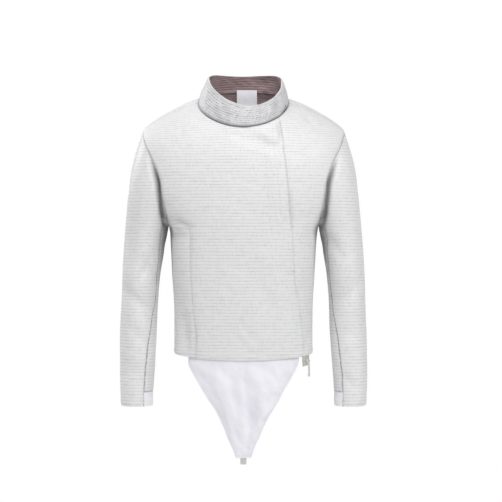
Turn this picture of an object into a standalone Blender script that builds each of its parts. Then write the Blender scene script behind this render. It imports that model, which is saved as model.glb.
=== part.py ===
"""A sabre fencer's electric over-jacket, hollow and filled out as if worn.

Metres, +Z up. The front faces -Y and the wearer's left is +X. The origin lies midway between
the two points where neck and shoulder meet, which is where the shoulders carry the jacket.
"""

import math
from collections import namedtuple

import bmesh
import bpy
import numpy as np

# Cloth thicknesses
WALL = 0.0018
COLLAR_WALL = 0.0030
LINING_WALL = 0.0010
COTTON_WALL = 0.0012
TAPE_WALL = 0.0010
STRAP_WALL = 0.0016
LABEL_WALL = 0.0008

# Clear spaces
SEAM = 0.00036
SHARPEST_CORNER = 0.2
LAYER = 0.00040
LOOSE_LAYER = 0.0013

# Lattice of the body: how many strips lie between the named lines
YOKE_ROWS = (0.0, 0.14, 0.34, 0.56, 0.78)
ARMHOLE_STEPS = 10
FLANK_ROWS = (2.12, 2.24, 2.36, 2.48, 2.60, 2.72, 2.81, 2.88, 2.935, 2.957, 2.964, 2.982)
HEM_ROW = 3.0
HEM_FOLD_ROW = 2.96
HEM_RAISE = 0.0007
FRONT_STRIPS = (4, 3, 2, 3, 1, 1, 1)
UNDER_STRIPS = (1, 1, 1, 3)
BACK_STRIPS = (3, 4, 4, 3)
UNDER_FLAT_COLUMNS = 2

# Rows of the body's rings: the neckline is 0, the shoulder tips 1, the armpits 2, the hem 3
TIP = 1.0
Ring = namedtuple("Ring", "row half_width front back side_z front_z back_z squareness")
TORSO = (
    Ring(0.00, 0.1010, 0.0920, 0.0780, 0.000, -0.060, 0.030, 2.10),
    Ring(0.25, 0.1290, 0.0985, 0.0885, -0.007, -0.077, 0.015, 2.12),
    Ring(0.50, 0.1620, 0.1050, 0.0980, -0.022, -0.095, -0.003, 2.14),
    Ring(0.75, 0.1960, 0.1115, 0.1060, -0.040, -0.116, -0.026, 2.16),
    Ring(0.90, 0.2150, 0.1148, 0.1095, -0.053, -0.131, -0.045, 2.18),
    Ring(1.00, 0.2265, 0.1167, 0.1115, -0.064, -0.142, -0.060, 2.20),
    Ring(1.12, 0.2350, 0.1188, 0.1135, -0.084, -0.157, -0.081, 2.26),
    Ring(1.25, 0.2370, 0.1207, 0.1150, -0.112, -0.174, -0.107, 2.36),
    Ring(1.50, 0.2280, 0.1235, 0.1170, -0.168, -0.210, -0.162, 2.50),
    Ring(1.75, 0.2000, 0.1250, 0.1170, -0.225, -0.248, -0.221, 2.60),
    Ring(1.90, 0.1790, 0.1255, 0.1160, -0.257, -0.271, -0.256, 2.60),
    Ring(2.00, 0.1690, 0.1257, 0.1150, -0.279, -0.287, -0.281, 2.60),
    Ring(2.12, 0.1635, 0.1255, 0.1140, -0.309, -0.315, -0.311, 2.58),
    Ring(2.35, 0.1602, 0.1240, 0.1110, -0.376, -0.383, -0.379, 2.55),
    Ring(2.70, 0.1553, 0.1200, 0.1070, -0.475, -0.484, -0.479, 2.50),
    Ring(3.00, 0.1548, 0.1160, 0.1050, -0.560, -0.572, -0.566, 2.50),
    Ring(3.10, 0.1548, 0.1150, 0.1040, -0.588, -0.600, -0.594, 2.50),
)

# Small steps for slopes, and how finely places are searched
TURN_STEP = 0.5
ROW_STEP = 0.01
HALVINGS = 40
SHIFT_STEPS = 8

# Armholes: how far they reach round from the side line, in degrees
ARMHOLE_FRONT = 38
ARMHOLE_BACK = 34

# Seams and lines of the body
COLLAR_SEAM_RIGHT_X = -0.0265
BACK_SEAM = 128
Line = namedtuple("Line", "row x")
PANEL_SEAM = (
    Line(0.0, -0.070),
    Line(1.0, -0.108),
    Line(2.0, -0.118),
    Line(3.0, -0.104),
)
COLLAR_SEAM_LEFT = (
    Line(0.0, 0.0405),
    Line(0.5, 0.0320),
    Line(3.1, 0.0300),
)
CLOSURE = (
    Line(0.00, 0.078),
    Line(0.50, 0.086),
    Line(1.00, 0.092),
    Line(1.50, 0.099),
    Line(2.00, 0.106),
    Line(2.38, 0.112),
    Line(2.57, 0.121),
    Line(2.73, 0.127),
    Line(2.94, 0.134),
    Line(3.10, 0.137),
)
FLAP_LAP = 0.022
FLAP_RAMP = 0.012
FLAP_RAISE = WALL + LAYER
FLAP_CORNER = 0.017
FLAP_FREE_FROM = 0.14
FLAP_FULL_FROM = 0.50

# Folds of the body: troughs (or ridges) between two places of the body, in turn and row
Fold = namedtuple("Fold", "turn_a row_a turn_b row_b width depth")
BODY_FOLDS = (
    Fold(-88, 2.02, -46, 2.06, 0.015, -0.0045),
    Fold(88, 1.98, 60, 2.05, 0.016, -0.0035),
    Fold(-2, 0.30, 34, 0.95, 0.020, -0.0030),
    Fold(-62, 2.35, -56, 2.90, 0.024, -0.0035),
    Fold(52, 2.10, 66, 2.75, 0.022, -0.0030),
    Fold(18, 2.30, 6, 2.80, 0.040, 0.0030),
    Fold(132, 1.25, 150, 2.10, 0.026, -0.0045),
    Fold(-128, 1.20, -146, 2.20, 0.024, -0.0040),
    Fold(176, 2.25, 168, 2.95, 0.030, -0.0045),
    Fold(-150, 2.45, -160, 2.98, 0.026, -0.0035),
    Fold(112, 2.05, 146, 2.12, 0.018, -0.0040),
    Fold(-110, 2.03, -140, 2.16, 0.018, -0.0035),
)
FOLD_LEAST = 0.45
METRES_PER_DEGREE = 0.0022
METRES_PER_ROW = 0.26

# Collar: the rim's ring, and how the band stands
RIM = Ring(0, 0.0860, 0.080, 0.074, 0.052, -0.013, 0.068, 2.10)
RIM_TURN = 6
COLLAR_ROWS = (0.0, 0.28, 0.56, 0.84, 1.0)
COLLAR_BULGE = 0.0025
COLLAR_PROUD = 0.0010
COLLAR_LIFT = 0.0032
COLLAR_LIFT_TURN = 74
COLLAR_LIFT_SPREAD = 16
LINING_ROWS = (0.06, 0.30, 0.58, 0.86, 0.95)
YOKE_LINING_ROWS = (0.07, 0.14, 0.34, 0.56, 0.78, 1.0)
LABEL_WIDTH = 0.047
LABEL_X = 0.007
LABEL_STRIPS = 3
LABEL_ROWS = (0.06, 0.24, 0.42, 0.60, 0.74)

# Sleeves: rings below the cap, for the wearer's left arm; the right one mirrors them
SleeveRing = namedtuple("SleeveRing", "z x half_width y half_depth front_seam back_seam")
SLEEVE = (
    SleeveRing(-0.335, 0.2240, 0.0450, -0.004, 0.0640, 148, 212),
    SleeveRing(-0.389, 0.2294, 0.0426, -0.006, 0.0600, 154, 210),
    SleeveRing(-0.443, 0.2324, 0.0412, -0.007, 0.0560, 155, 212),
    SleeveRing(-0.497, 0.2345, 0.0411, -0.009, 0.0530, 138, 220),
    SleeveRing(-0.578, 0.2374, 0.0394, -0.015, 0.0480, 125, 232),
    SleeveRing(-0.646, 0.2390, 0.0367, -0.021, 0.0440, 122, 236),
    SleeveRing(-0.677, 0.2380, 0.0355, -0.024, 0.0420, 122, 236),
)
CAP_STEPS = 8
ARM_ROWS = (-0.365, -0.395, -0.425, -0.455, -0.485, -0.515, -0.545, -0.580, -0.615, -0.646)
CUFF_ROWS = (-0.6625, -0.6655, -0.677)
CUFF_FOLD_Z = -0.664
CUFF_RAISE = 0.0006
SEAM_STEP_FRONT = 8
SEAM_STEP_BACK = 12
CAP_START_TIP = (0.30, 0.00, -0.95)
CAP_START_PIT = (0.22, 0.00, -0.97)
CAP_SPREAD = (0.55, 0.00, 0.42)
CAP_END = (0.06, -0.02, -1.00)
MITRE_MOST = 1.7
NOTCH_DEEP = -0.2
NOTCH_SHALLOW = 0.4

# Folds of the sleeves: arm side (+1 the wearer's left), place round the arm and height at both ends
ArmFold = namedtuple("ArmFold", "side turn_a z_a turn_b z_b width depth")
ARM_FOLDS = (
    ArmFold(1, 60, -0.405, 150, -0.450, 0.022, -0.0040),
    ArmFold(1, 30, -0.480, 120, -0.520, 0.020, -0.0030),
    ArmFold(1, 240, -0.430, 320, -0.400, 0.022, -0.0035),
    ArmFold(1, 20, -0.200, 70, -0.330, 0.026, -0.0035),
    ArmFold(1, 250, -0.600, 330, -0.560, 0.020, -0.0025),
    ArmFold(-1, 50, -0.430, 145, -0.470, 0.024, -0.0045),
    ArmFold(-1, 70, -0.350, 140, -0.385, 0.020, -0.0030),
    ArmFold(-1, 25, -0.220, 60, -0.350, 0.024, -0.0035),
    ArmFold(-1, 230, -0.410, 310, -0.440, 0.024, -0.0035),
    ArmFold(-1, 30, -0.585, 110, -0.610, 0.020, -0.0025),
)
ARM_METRES_PER_DEGREE = 0.0009

# Crotch panel, from inside the front hem down to its tip
Crotch = namedtuple("Crotch", "z half_width depth")
CROTCH = (
    Crotch(-0.546, 0.1275, 0.1145),
    Crotch(-0.576, 0.1275, 0.1127),
    Crotch(-0.603, 0.1180, 0.1115),
    Crotch(-0.632, 0.0985, 0.1090),
    Crotch(-0.659, 0.0830, 0.1045),
    Crotch(-0.686, 0.0660, 0.0985),
    Crotch(-0.713, 0.0520, 0.0905),
    Crotch(-0.740, 0.0415, 0.0805),
    Crotch(-0.767, 0.0275, 0.0690),
    Crotch(-0.792, 0.0165, 0.0570),
)
CROTCH_HELD_Z = -0.572
CROTCH_FREE_Z = -0.612
CROTCH_ROWS = 16
CROTCH_STRIPS = 16
CROTCH_WAVES = 1.5
CROTCH_WAVE_DEPTH = 0.0045
HEM_INNER_HALF_WIDTH = 0.1519
HEM_SQUARENESS = 2.5

# Crotch strap: its centre line in the plane of Y and Z, from the panel's tip to the back hem
STRAP_WIDTH = 0.0135
StrapPoint = namedtuple("StrapPoint", "y z")
STRAP = (
    StrapPoint(-0.0440, -0.8040),
    StrapPoint(-0.0240, -0.8092),
    StrapPoint(0.0100, -0.8040),
    StrapPoint(0.0480, -0.7780),
    StrapPoint(0.0760, -0.7330),
    StrapPoint(0.0920, -0.6750),
    StrapPoint(0.0995, -0.6150),
)
STRAP_LAP_Z = (-0.770, -0.780, -0.789)
STRAP_BEHIND_PANEL = 0.0032
STRAP_BACK_ROWS = (3.05, 3.00, 2.95, 2.90)
STRAP_BEHIND_BACK = WALL + 0.0005 + STRAP_WALL / 2
STRAP_STEPS = 30

# Zip: its tape runs inside the closure, past the hem
TAPE_EDGE_AT_NECK = 0.006
TAPE_EDGE_FRONT = -0.006
TAPE_MIDDLE = 0.011
TAPE_EDGE_BACK = 0.028
TAPE_FIRST_ROW = 0.50
TAPE_END_ROWS = (3.045, 3.082)
SLIDER_ROW = 3.052
SLIDER_SIZE = (0.0105, 0.0028, 0.0120)
SLIDER_TAPER = 0.72
SLIDER_ROUNDING = 0.0006
SLIDER_LUG = (0.0013, 0.0046, 0.0040)
SLIDER_LUG_APART = 0.0040
LUG_SUNK = 0.0005
PIN_RADIUS = 0.0008
PIN_Y = -0.0056
PIN_Z = 0.0030
PULL_WIDTH = 0.0090
PULL_NECK = 0.0058
PULL_LENGTH = 0.0350
PULL_TOP = 0.0044
PULL_STEM_SUNK = 0.0015
PULL_THICK = 0.0013
PULL_ROUNDING = 0.0004
PULL_EYE_RADIUS = 0.0019
PULL_EYE_HOLE = 0.0012
PULL_SLOT_WIDTH = 0.0035
PULL_SLOT_LENGTH = 0.0120
PULL_SLOT_Z = -0.0230
ROUND_SIDES = 24
CUTTER_OVERLONG = 2

SHARP_DEGREES = 35

# Finishes: colour, roughness, metallic
Finish = namedtuple("Finish", "colour roughness metallic")
FINISHES = {
    "lame_cloth": Finish((0.62, 0.62, 0.63), 0.55, 0.25),
    "white_cotton": Finish((0.86, 0.86, 0.90), 0.85, 0.0),
    "taupe_lining": Finish((0.30, 0.22, 0.22), 0.85, 0.0),
    "grey_elastic": Finish((0.42, 0.40, 0.38), 0.80, 0.0),
    "olive_tape": Finish((0.22, 0.21, 0.12), 0.85, 0.0),
    "bright_metal": Finish((0.75, 0.74, 0.72), 0.30, 1.0),
}

LAME = "lame_cloth"


class Curve:
    """A smooth curve through a table's points that never overshoots them."""

    def __init__(self, places, values):
        self.x = np.array(places, float)
        self.y = np.array(values, float)
        step = np.diff(self.x)
        rise = np.diff(self.y) / step
        slope = np.zeros(len(self.x))
        slope[0] = rise[0]
        slope[-1] = rise[-1]
        for i in range(1, len(rise)):
            if rise[i - 1] * rise[i] > 0:
                slope[i] = 2 * rise[i - 1] * rise[i] / (rise[i - 1] + rise[i])
        self.slope = slope

    def __call__(self, x):
        x = min(max(x, self.x[0]), self.x[-1])
        i = min(max(int(np.searchsorted(self.x, x)) - 1, 0), len(self.x) - 2)
        h = self.x[i + 1] - self.x[i]
        t = (x - self.x[i]) / h
        start = (1 + 2 * t) * (1 - t) ** 2 * self.y[i] + t * (1 - t) ** 2 * h * self.slope[i]
        end = t * t * (3 - 2 * t) * self.y[i + 1] - t * t * (1 - t) * h * self.slope[i + 1]
        return start + end


def curves(table):
    """A Curve for each column of a table, over its first column."""
    first, *others = table[0]._fields
    places = [getattr(row, first) for row in table]
    return {name: Curve(places, [getattr(row, name) for row in table]) for name in others}


def eased(value, low, high):
    """0 below low, 1 above high, and smooth between."""
    t = min(max((value - low) / (high - low), 0), 1)
    return t * t * (3 - 2 * t)


def unit(vectors):
    return vectors / np.linalg.norm(vectors, axis=-1, keepdims=True)


TORSO_CURVES = curves(TORSO)
SLEEVE_CURVES = curves(tuple(reversed(SLEEVE)))
CROTCH_CURVES = curves(tuple(reversed(CROTCH)))
CLOSURE_X = curves(CLOSURE)["x"]
PANEL_SEAM_X = curves(PANEL_SEAM)["x"]
COLLAR_SEAM_LEFT_X = curves(COLLAR_SEAM_LEFT)["x"]


def ring_point(ring, turn, z_turn=0):
    """A point of a rounded-square ring; turn is 0 at the centre front and 90 at the left side."""
    c, s = math.cos(math.radians(turn)), math.sin(math.radians(turn))
    power = ring.squareness
    swell = (abs(c) ** power + abs(s) ** power) ** (-1 / power)
    depth = ring.front if c > 0 else ring.back
    angle = math.radians(turn - z_turn)
    middle = (ring.front_z + ring.back_z + 2 * ring.side_z) / 4
    tilt = (ring.back_z - ring.front_z) / 2
    saddle = (ring.front_z + ring.back_z - 2 * ring.side_z) / 4
    z = middle - tilt * math.cos(angle) + saddle * math.cos(2 * angle)
    return np.array([ring.half_width * s * swell, -depth * c * swell, z])


def torso_ring(row):
    return Ring(row, *(TORSO_CURVES[name](row) for name in Ring._fields[1:]))


def segment_reach(place, end_a, end_b, width):
    """1 on the line between two places, falling smoothly to 0 beside it and past its ends."""
    along = end_b - end_a
    t = np.clip(np.dot(place - end_a, along) / np.dot(along, along), 0, 1)
    away = np.linalg.norm(place - end_a - t * along)
    depth = FOLD_LEAST + (1 - FOLD_LEAST) * math.sin(math.pi * t)
    return math.exp(-((away / width) ** 2)) * depth


def body_fold(turn, row):
    """How far the folds move the body's surface out at one place."""
    turn = (turn + 180) % 360 - 180
    total = 0.0
    for fold in BODY_FOLDS:
        near = turn
        if abs(turn - fold.turn_a) > 180:
            near = turn + math.copysign(360, fold.turn_a)
        scale = np.array([METRES_PER_DEGREE, METRES_PER_ROW])
        total += fold.depth * segment_reach(
            np.array([near, row]) * scale,
            np.array([fold.turn_a, fold.row_a]) * scale,
            np.array([fold.turn_b, fold.row_b]) * scale,
            fold.width,
        )
    return total


def torso_point(turn, row):
    """A point of the body's outer surface, folds included."""
    point = ring_point(torso_ring(row), turn)
    flat = np.array([point[0], point[1], 0.0])
    return point + unit(flat) * body_fold(turn, row)


def torso_normal(turn, row):
    d_turn = torso_point(turn + TURN_STEP, row) - torso_point(turn - TURN_STEP, row)
    high = max(row - ROW_STEP, 0)
    d_row = torso_point(turn, row + ROW_STEP) - torso_point(turn, high)
    return unit(np.cross(d_row, d_turn))


def turn_at(row, x):
    """The turn at which the front of a ring has this x."""
    ring = torso_ring(row)
    low, high = -90.0, 90.0
    for _ in range(HALVINGS):
        middle = (low + high) / 2
        if ring_point(ring, middle)[0] < x:
            low = middle
        else:
            high = middle
    return (low + high) / 2


def shifted(turn, row, distance):
    """The turn that lies a distance round the ring from another turn."""
    ring = torso_ring(row)
    for _ in range(SHIFT_STEPS):
        ends = ring_point(ring, turn - TURN_STEP), ring_point(ring, turn + TURN_STEP)
        turn += distance / SHIFT_STEPS / math.dist(*ends) * 2 * TURN_STEP
    return turn


def armhole(row, reach):
    """Half the armhole's angle at a row, 0 at the shoulder tip and at the armpit."""
    share = min(max(row - TIP, 0), 1)
    return reach * 2 * math.sqrt(share * (1 - share))


def closure_turn(row):
    return turn_at(row, CLOSURE_X(row))


def flap_corner_cut(row):
    """How far the rounding of the flap's lower corner draws its free edge back."""
    above_hem = (HEM_ROW - row) * METRES_PER_ROW
    short = max(FLAP_CORNER - above_hem, 0)
    return FLAP_CORNER - math.sqrt(FLAP_CORNER**2 - short**2)


def front_lines(row):
    closure = closure_turn(row)
    flap = FLAP_LAP - flap_corner_cut(row)
    middle = flap * (1 + TAPE_EDGE_FRONT / FLAP_LAP)
    return (
        -90 + armhole(row, ARMHOLE_FRONT),
        turn_at(row, PANEL_SEAM_X(row)),
        turn_at(row, COLLAR_SEAM_RIGHT_X),
        turn_at(row, COLLAR_SEAM_LEFT_X(row)),
        shifted(closure, row, -FLAP_LAP - FLAP_RAMP),
        shifted(closure, row, -FLAP_LAP),
        shifted(closure, row, -FLAP_LAP + middle),
        shifted(closure, row, -FLAP_LAP + flap),
    )


def under_lines(row):
    closure = closure_turn(row)
    free = eased(row, FLAP_FREE_FROM, FLAP_FULL_FROM)
    return (
        shifted(closure, row, -FLAP_LAP * free),
        shifted(closure, row, TAPE_EDGE_AT_NECK * (1 - free) + TAPE_EDGE_FRONT * free),
        shifted(closure, row, TAPE_MIDDLE),
        shifted(closure, row, TAPE_EDGE_BACK),
        90 - armhole(row, ARMHOLE_FRONT),
    )


def back_lines(row):
    return (
        90 + armhole(row, ARMHOLE_BACK),
        BACK_SEAM,
        180,
        360 - BACK_SEAM,
        270 - armhole(row, ARMHOLE_BACK),
    )


def divided(lines, strips):
    """Turns on the lines, and evenly between them."""
    turns = [lines[0]]
    for start, end, count in zip(lines, lines[1:], strips):
        turns += [start + (end - start) * (i + 1) / count for i in range(count)]
    return turns


def armhole_rows():
    """Rows from the shoulder tip to the armpit, closest at both ends."""
    steps = range(ARMHOLE_STEPS + 1)
    return [TIP + (1 - math.cos(math.pi * i / ARMHOLE_STEPS)) / 2 for i in steps]


ROWS = [*YOKE_ROWS, *armhole_rows(), *FLANK_ROWS, HEM_ROW]
TIP_INDEX = len(YOKE_ROWS)
PIT_INDEX = TIP_INDEX + ARMHOLE_STEPS
PANEL_SEAM_INDEX = FRONT_STRIPS[0]
COLLAR_RIGHT_INDEX = sum(FRONT_STRIPS[:2])
COLLAR_LEFT_INDEX = sum(FRONT_STRIPS[:3])
LEFT_BACK_INDEX = BACK_STRIPS[0]
CENTRE_BACK_INDEX = sum(BACK_STRIPS[:2])
RIGHT_BACK_INDEX = sum(BACK_STRIPS[:3])


def ring_normals(points):
    """Normals of a lattice whose last column is next to its first one."""
    round_step = np.roll(points, -1, axis=1) - np.roll(points, 1, axis=1)
    return unit(np.cross(round_step, np.gradient(points, axis=0)))


class Lattice:
    """Points of a surface in rows and columns, with normals and the way in through the wall.

    The wall's outer face may stand out from the points by raised, as a turned hem does.
    """

    def __init__(self, points, normals, inward=None, raised=None):
        self.points = np.array(points, float)
        self.normals = np.array(normals, float)
        self.inward = -self.normals if inward is None else np.array(inward, float)
        self.raised = np.zeros(self.points.shape[:2]) if raised is None else np.array(raised)

    def fields(self):
        return self.points, self.normals, self.inward, self.raised

    def part(self, rows, columns):
        return Lattice(*(field[rows, columns] for field in self.fields()))

    def beside(self, other):
        """This lattice with another to its right, whose first column is this one's last."""
        pairs = zip(self.fields(), other.fields())
        return Lattice(*(np.concatenate([a, b[:, 1:]], axis=1) for a, b in pairs))

    def closed(self):
        """The lattice of a ring, with its first column again at the end."""
        return Lattice(*(np.concatenate([f, f[:, :1]], axis=1) for f in self.fields()))

    def moved_in(self, distance):
        return Lattice(self.points + self.inward * distance, self.normals, self.inward)


def torso_lattice(lines, strips, rows):
    turns = [divided(lines(row), strips) for row in rows]
    points = [[torso_point(turn, row) for turn in line] for line, row in zip(turns, rows)]
    normals = [[torso_normal(turn, row) for turn in line] for line, row in zip(turns, rows)]
    lattice = Lattice(points, normals)
    lattice.raised[[row > HEM_FOLD_ROW for row in rows]] = HEM_RAISE
    return lattice


def mitre(normal_a, normal_b):
    """The way in at a seam where two walls meet at an angle."""
    middle = unit(normal_a + normal_b)
    return -middle / max(np.dot(middle, normal_a), 1 / MITRE_MOST)


def join_at_seam(places):
    """Mitres the points of several lattices at one place, unless the walls part in a deep notch."""
    normals = [lattice.normals[row, column] for lattice, row, column in places]
    way = mitre(normals[0], normals[-1])
    share = eased(np.dot(normals[0], normals[-1]), NOTCH_DEEP, NOTCH_SHALLOW)
    for (lattice, row, column), normal in zip(places, normals):
        lattice.inward[row, column] = way * share - normal * (1 - share)


def cap_start(share):
    """The way a sleeve leaves the armhole, at a share of the drop from its tip to the armpit."""
    bend = 2 * math.sqrt(max(share * (1 - share), 0))
    way = np.array(CAP_START_TIP) * (1 - share) + np.array(CAP_START_PIT) * share
    return unit(way + bend * np.array(CAP_SPREAD))


def arm_turns(z):
    """Where the sleeve's columns lie round the arm, from its outer side over the front."""
    seams = SLEEVE_CURVES["front_seam"](z), SLEEVE_CURVES["back_seam"](z)
    known = (0, SEAM_STEP_FRONT, SEAM_STEP_BACK, 2 * ARMHOLE_STEPS)
    return np.interp(range(2 * ARMHOLE_STEPS), known, (0, *seams, 360))


def arm_fold(side, turn, z):
    scale = np.array([ARM_METRES_PER_DEGREE, 1.0])
    total = 0.0
    for fold in ARM_FOLDS:
        if fold.side == side:
            ends = [(fold.turn_a, fold.z_a), (fold.turn_b, fold.z_b)]
            place, end_a, end_b = (np.array(p) * scale for p in [(turn, z), *ends])
            total += fold.depth * segment_reach(place, end_a, end_b, fold.width)
    return total


def arm_point(side, turn, z):
    """A point of the wearer's left sleeve below its cap, with one side's folds."""
    out = np.array([math.cos(math.radians(turn)), -math.sin(math.radians(turn)), 0.0])
    ring = {name: curve(z) for name, curve in SLEEVE_CURVES.items()}
    centre = np.array([ring["x"], ring["y"], z])
    size = np.array([ring["half_width"], ring["half_depth"], 0.0])
    return centre + out * size + out * arm_fold(side, turn, z)


def cap_point(start, end, way, t):
    """A point of the curve from the armhole to the first full ring of the sleeve."""
    length = np.linalg.norm(end - start)
    leave, arrive = way * length, unit(np.array(CAP_END)) * length
    near_start = (1 + 2 * t) * (1 - t) ** 2 * start + t * (1 - t) ** 2 * leave
    return near_start + t * t * (3 - 2 * t) * end - t * t * (1 - t) * arrive


def sleeve_lattice(side, front, front_column, back, back_column):
    """A whole sleeve, from the armhole's own points to the cuff."""
    mirror = np.array([side, 1, 1])
    last = 2 * ARMHOLE_STEPS
    seams = []
    for i in range(last):
        at_front = (front, TIP_INDEX + i, front_column)
        at_back = (back, TIP_INDEX + (last - i) % last, back_column)
        seams.append([place for place in (at_front, at_back) if place[1] <= PIT_INDEX])
    rows = [[lattice.points[row, column] * mirror for (lattice, row, column), *_ in seams]]
    top_z = SLEEVE[0].z
    for step in range(1, CAP_STEPS + 1):
        line = []
        for i, (start, turn) in enumerate(zip(rows[0], arm_turns(top_z))):
            share = (1 - math.cos(math.pi * i / ARMHOLE_STEPS)) / 2
            end = arm_point(side, turn, top_z)
            line.append(cap_point(start, end, cap_start(share), step / CAP_STEPS))
        rows.append(line)
    below = (*ARM_ROWS, *CUFF_ROWS)
    rows += [[arm_point(side, turn, z) for turn in arm_turns(z)] for z in below]
    points = np.array(rows)
    sleeve = Lattice(points * mirror, ring_normals(points) * mirror)
    sleeve.raised[-len(CUFF_ROWS) :] = [[CUFF_RAISE * (z < CUFF_FOLD_Z)] for z in CUFF_ROWS]
    for i, places in enumerate(seams):
        join_at_seam([*places, (sleeve, 0, i)])
    return sleeve.closed()


def collar_point(turn, t):
    base, rim = ring_point(TORSO[0], turn), ring_point(RIM, turn, RIM_TURN)
    out = unit(base * (1, 1, 0))
    return base + (rim - base) * t + out * COLLAR_BULGE * 4 * t * (1 - t)


def collar_lattice(turns, rows):
    points = np.array([[collar_point(turn, t) for turn in turns] for t in rows])
    return Lattice(points, ring_normals(points))


def lift_collar_edge(collar, turns):
    """Where the collar closes over the zip, its lower edge stands off the shoulder."""
    for column, turn in enumerate(turns):
        lift = COLLAR_LIFT * math.exp(-(((turn - COLLAR_LIFT_TURN) / COLLAR_LIFT_SPREAD) ** 2))
        up = unit(collar.points[1, column] - collar.points[0, column])
        collar.points[0, column] += up * lift


def crotch_point(across, z):
    """A point of the crotch panel, held inside the hem at its top; across runs from -1 to 1."""
    half_width, depth = CROTCH_CURVES["half_width"](z), CROTCH_CURVES["depth"](z)
    x = across * half_width
    flatness = (1 - abs(x / HEM_INNER_HALF_WIDTH) ** HEM_SQUARENESS) ** (1 / HEM_SQUARENESS)
    share = (CROTCH[0].z - z) / (CROTCH[0].z - CROTCH[-1].z)
    wave = math.sin(math.pi * share) ** 2 * math.cos(2 * math.pi * CROTCH_WAVES * across)
    loose = np.array([x, -depth * flatness - CROTCH_WAVE_DEPTH * wave, z])
    held = eased(z, CROTCH_FREE_Z, CROTCH_HELD_Z)
    row = min(HEM_ROW + (CROTCH_HELD_Z - z) / METRES_PER_ROW, TAPE_END_ROWS[-1])
    turn = turn_at(row, x)
    inside = torso_point(turn, row) - torso_normal(turn, row) * (WALL + LOOSE_LAYER)
    inside[2] = z
    return loose * (1 - held) + inside * held


def open_normals(points):
    """Normals of a lattice with open edges, for rows that run down and columns to the left side."""
    return unit(np.cross(np.gradient(points, axis=0), np.gradient(points, axis=1)))


def crotch_lattice():
    heights = np.linspace(CROTCH[0].z, CROTCH[-1].z, CROTCH_ROWS + 1)
    places = np.linspace(-1, 1, CROTCH_STRIPS + 1)
    points = np.array([[crotch_point(across, z) for across in places] for z in heights])
    return Lattice(points, open_normals(points))


def strap_line():
    """The strap's centre line: behind the panel's tip, under, and up inside the back hem."""
    front = [StrapPoint(STRAP_BEHIND_PANEL - CROTCH_CURVES["depth"](z), z) for z in STRAP_LAP_Z]
    rows = STRAP_BACK_ROWS
    inner = [torso_point(180, row) - torso_normal(180, row) * STRAP_BEHIND_BACK for row in rows]
    return [*front, *STRAP, *(StrapPoint(y, z) for _, y, z in inner)]


def strap_lattice():
    line = strap_line()
    places = np.cumsum([0, *(math.dist(a, b) for a, b in zip(line, line[1:]))])
    y, z = (Curve(places, [getattr(point, name) for point in line]) for name in ("y", "z"))
    stops = np.linspace(0, places[-1], STRAP_STEPS + 1)
    sides = (-STRAP_WIDTH / 2, STRAP_WIDTH / 2)
    points = np.array([[[side, y(stop), z(stop)] for side in sides] for stop in stops])
    return Lattice(points, open_normals(points))


def cells_of(lattice, keep=lambda row, column: True):
    """The lattice's cells, each named by its first corner."""
    rows, columns = lattice.points.shape[:2]
    return [(r, c) for r in range(rows - 1) for c in range(columns - 1) if keep(r, c)]


def corners_of(cell):
    row, column = cell
    return (row, column), (row + 1, column), (row + 1, column + 1), (row, column + 1)


def halves_of(cell):
    """The cell's two triangles, cut the same way on every layer."""
    a, b, c, d = corners_of(cell)
    return (a, b, c), (a, c, d)


def edges_of(cell):
    corners = corners_of(cell)
    return list(zip(corners, corners[1:] + corners[:1]))


def rim_edges(cells):
    """The edges that belong to one cell only, each with its cell."""
    owners = {}
    for cell in cells:
        for edge in edges_of(cell):
            owners.setdefault(frozenset(edge), []).append((edge, cell))
    return [owned[0] for owned in owners.values() if len(owned) == 1]


def drawn_back(lattice, cells):
    """How far each rim point moves for the piece's edges to lie half a seam's gap back."""
    points, normals = lattice.points, lattice.normals
    ways = {}
    for (a, b), cell in rim_edges(cells):
        middle = np.mean([points[corner] for corner in corners_of(cell)], axis=0)
        way = unit(np.cross(normals[a] + normals[b], points[b] - points[a]))
        way *= math.copysign(1, np.dot(way, middle - points[a]))
        ways.setdefault(a, []).append(way)
        ways.setdefault(b, []).append(way)
    half = SEAM / 2
    sharpness = {at: max(1 + np.dot(*pair), SHARPEST_CORNER) for at, pair in ways.items()}
    return {at: sum(pair) * half / sharpness[at] for at, pair in ways.items()}


def add_object(name, mesh, finish):
    mesh.shade_smooth()
    mesh.set_sharp_from_angle(angle=math.radians(SHARP_DEGREES))
    mesh.materials.append(material(finish))
    piece = bpy.data.objects.new(name, mesh)
    GARMENT.objects.link(piece)
    return piece


def material(name):
    """The named finish as a material, made once."""
    found = bpy.data.materials.get(name)
    if found:
        return found
    finish = FINISHES[name]
    made = bpy.data.materials.new(name)
    made.use_nodes = True
    shader = made.node_tree.nodes["Principled BSDF"]
    shader.inputs["Base Color"].default_value = (*finish.colour, 1)
    shader.inputs["Roughness"].default_value = finish.roughness
    shader.inputs["Metallic"].default_value = finish.metallic
    made.diffuse_color = (*finish.colour, 1)
    return made


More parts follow.
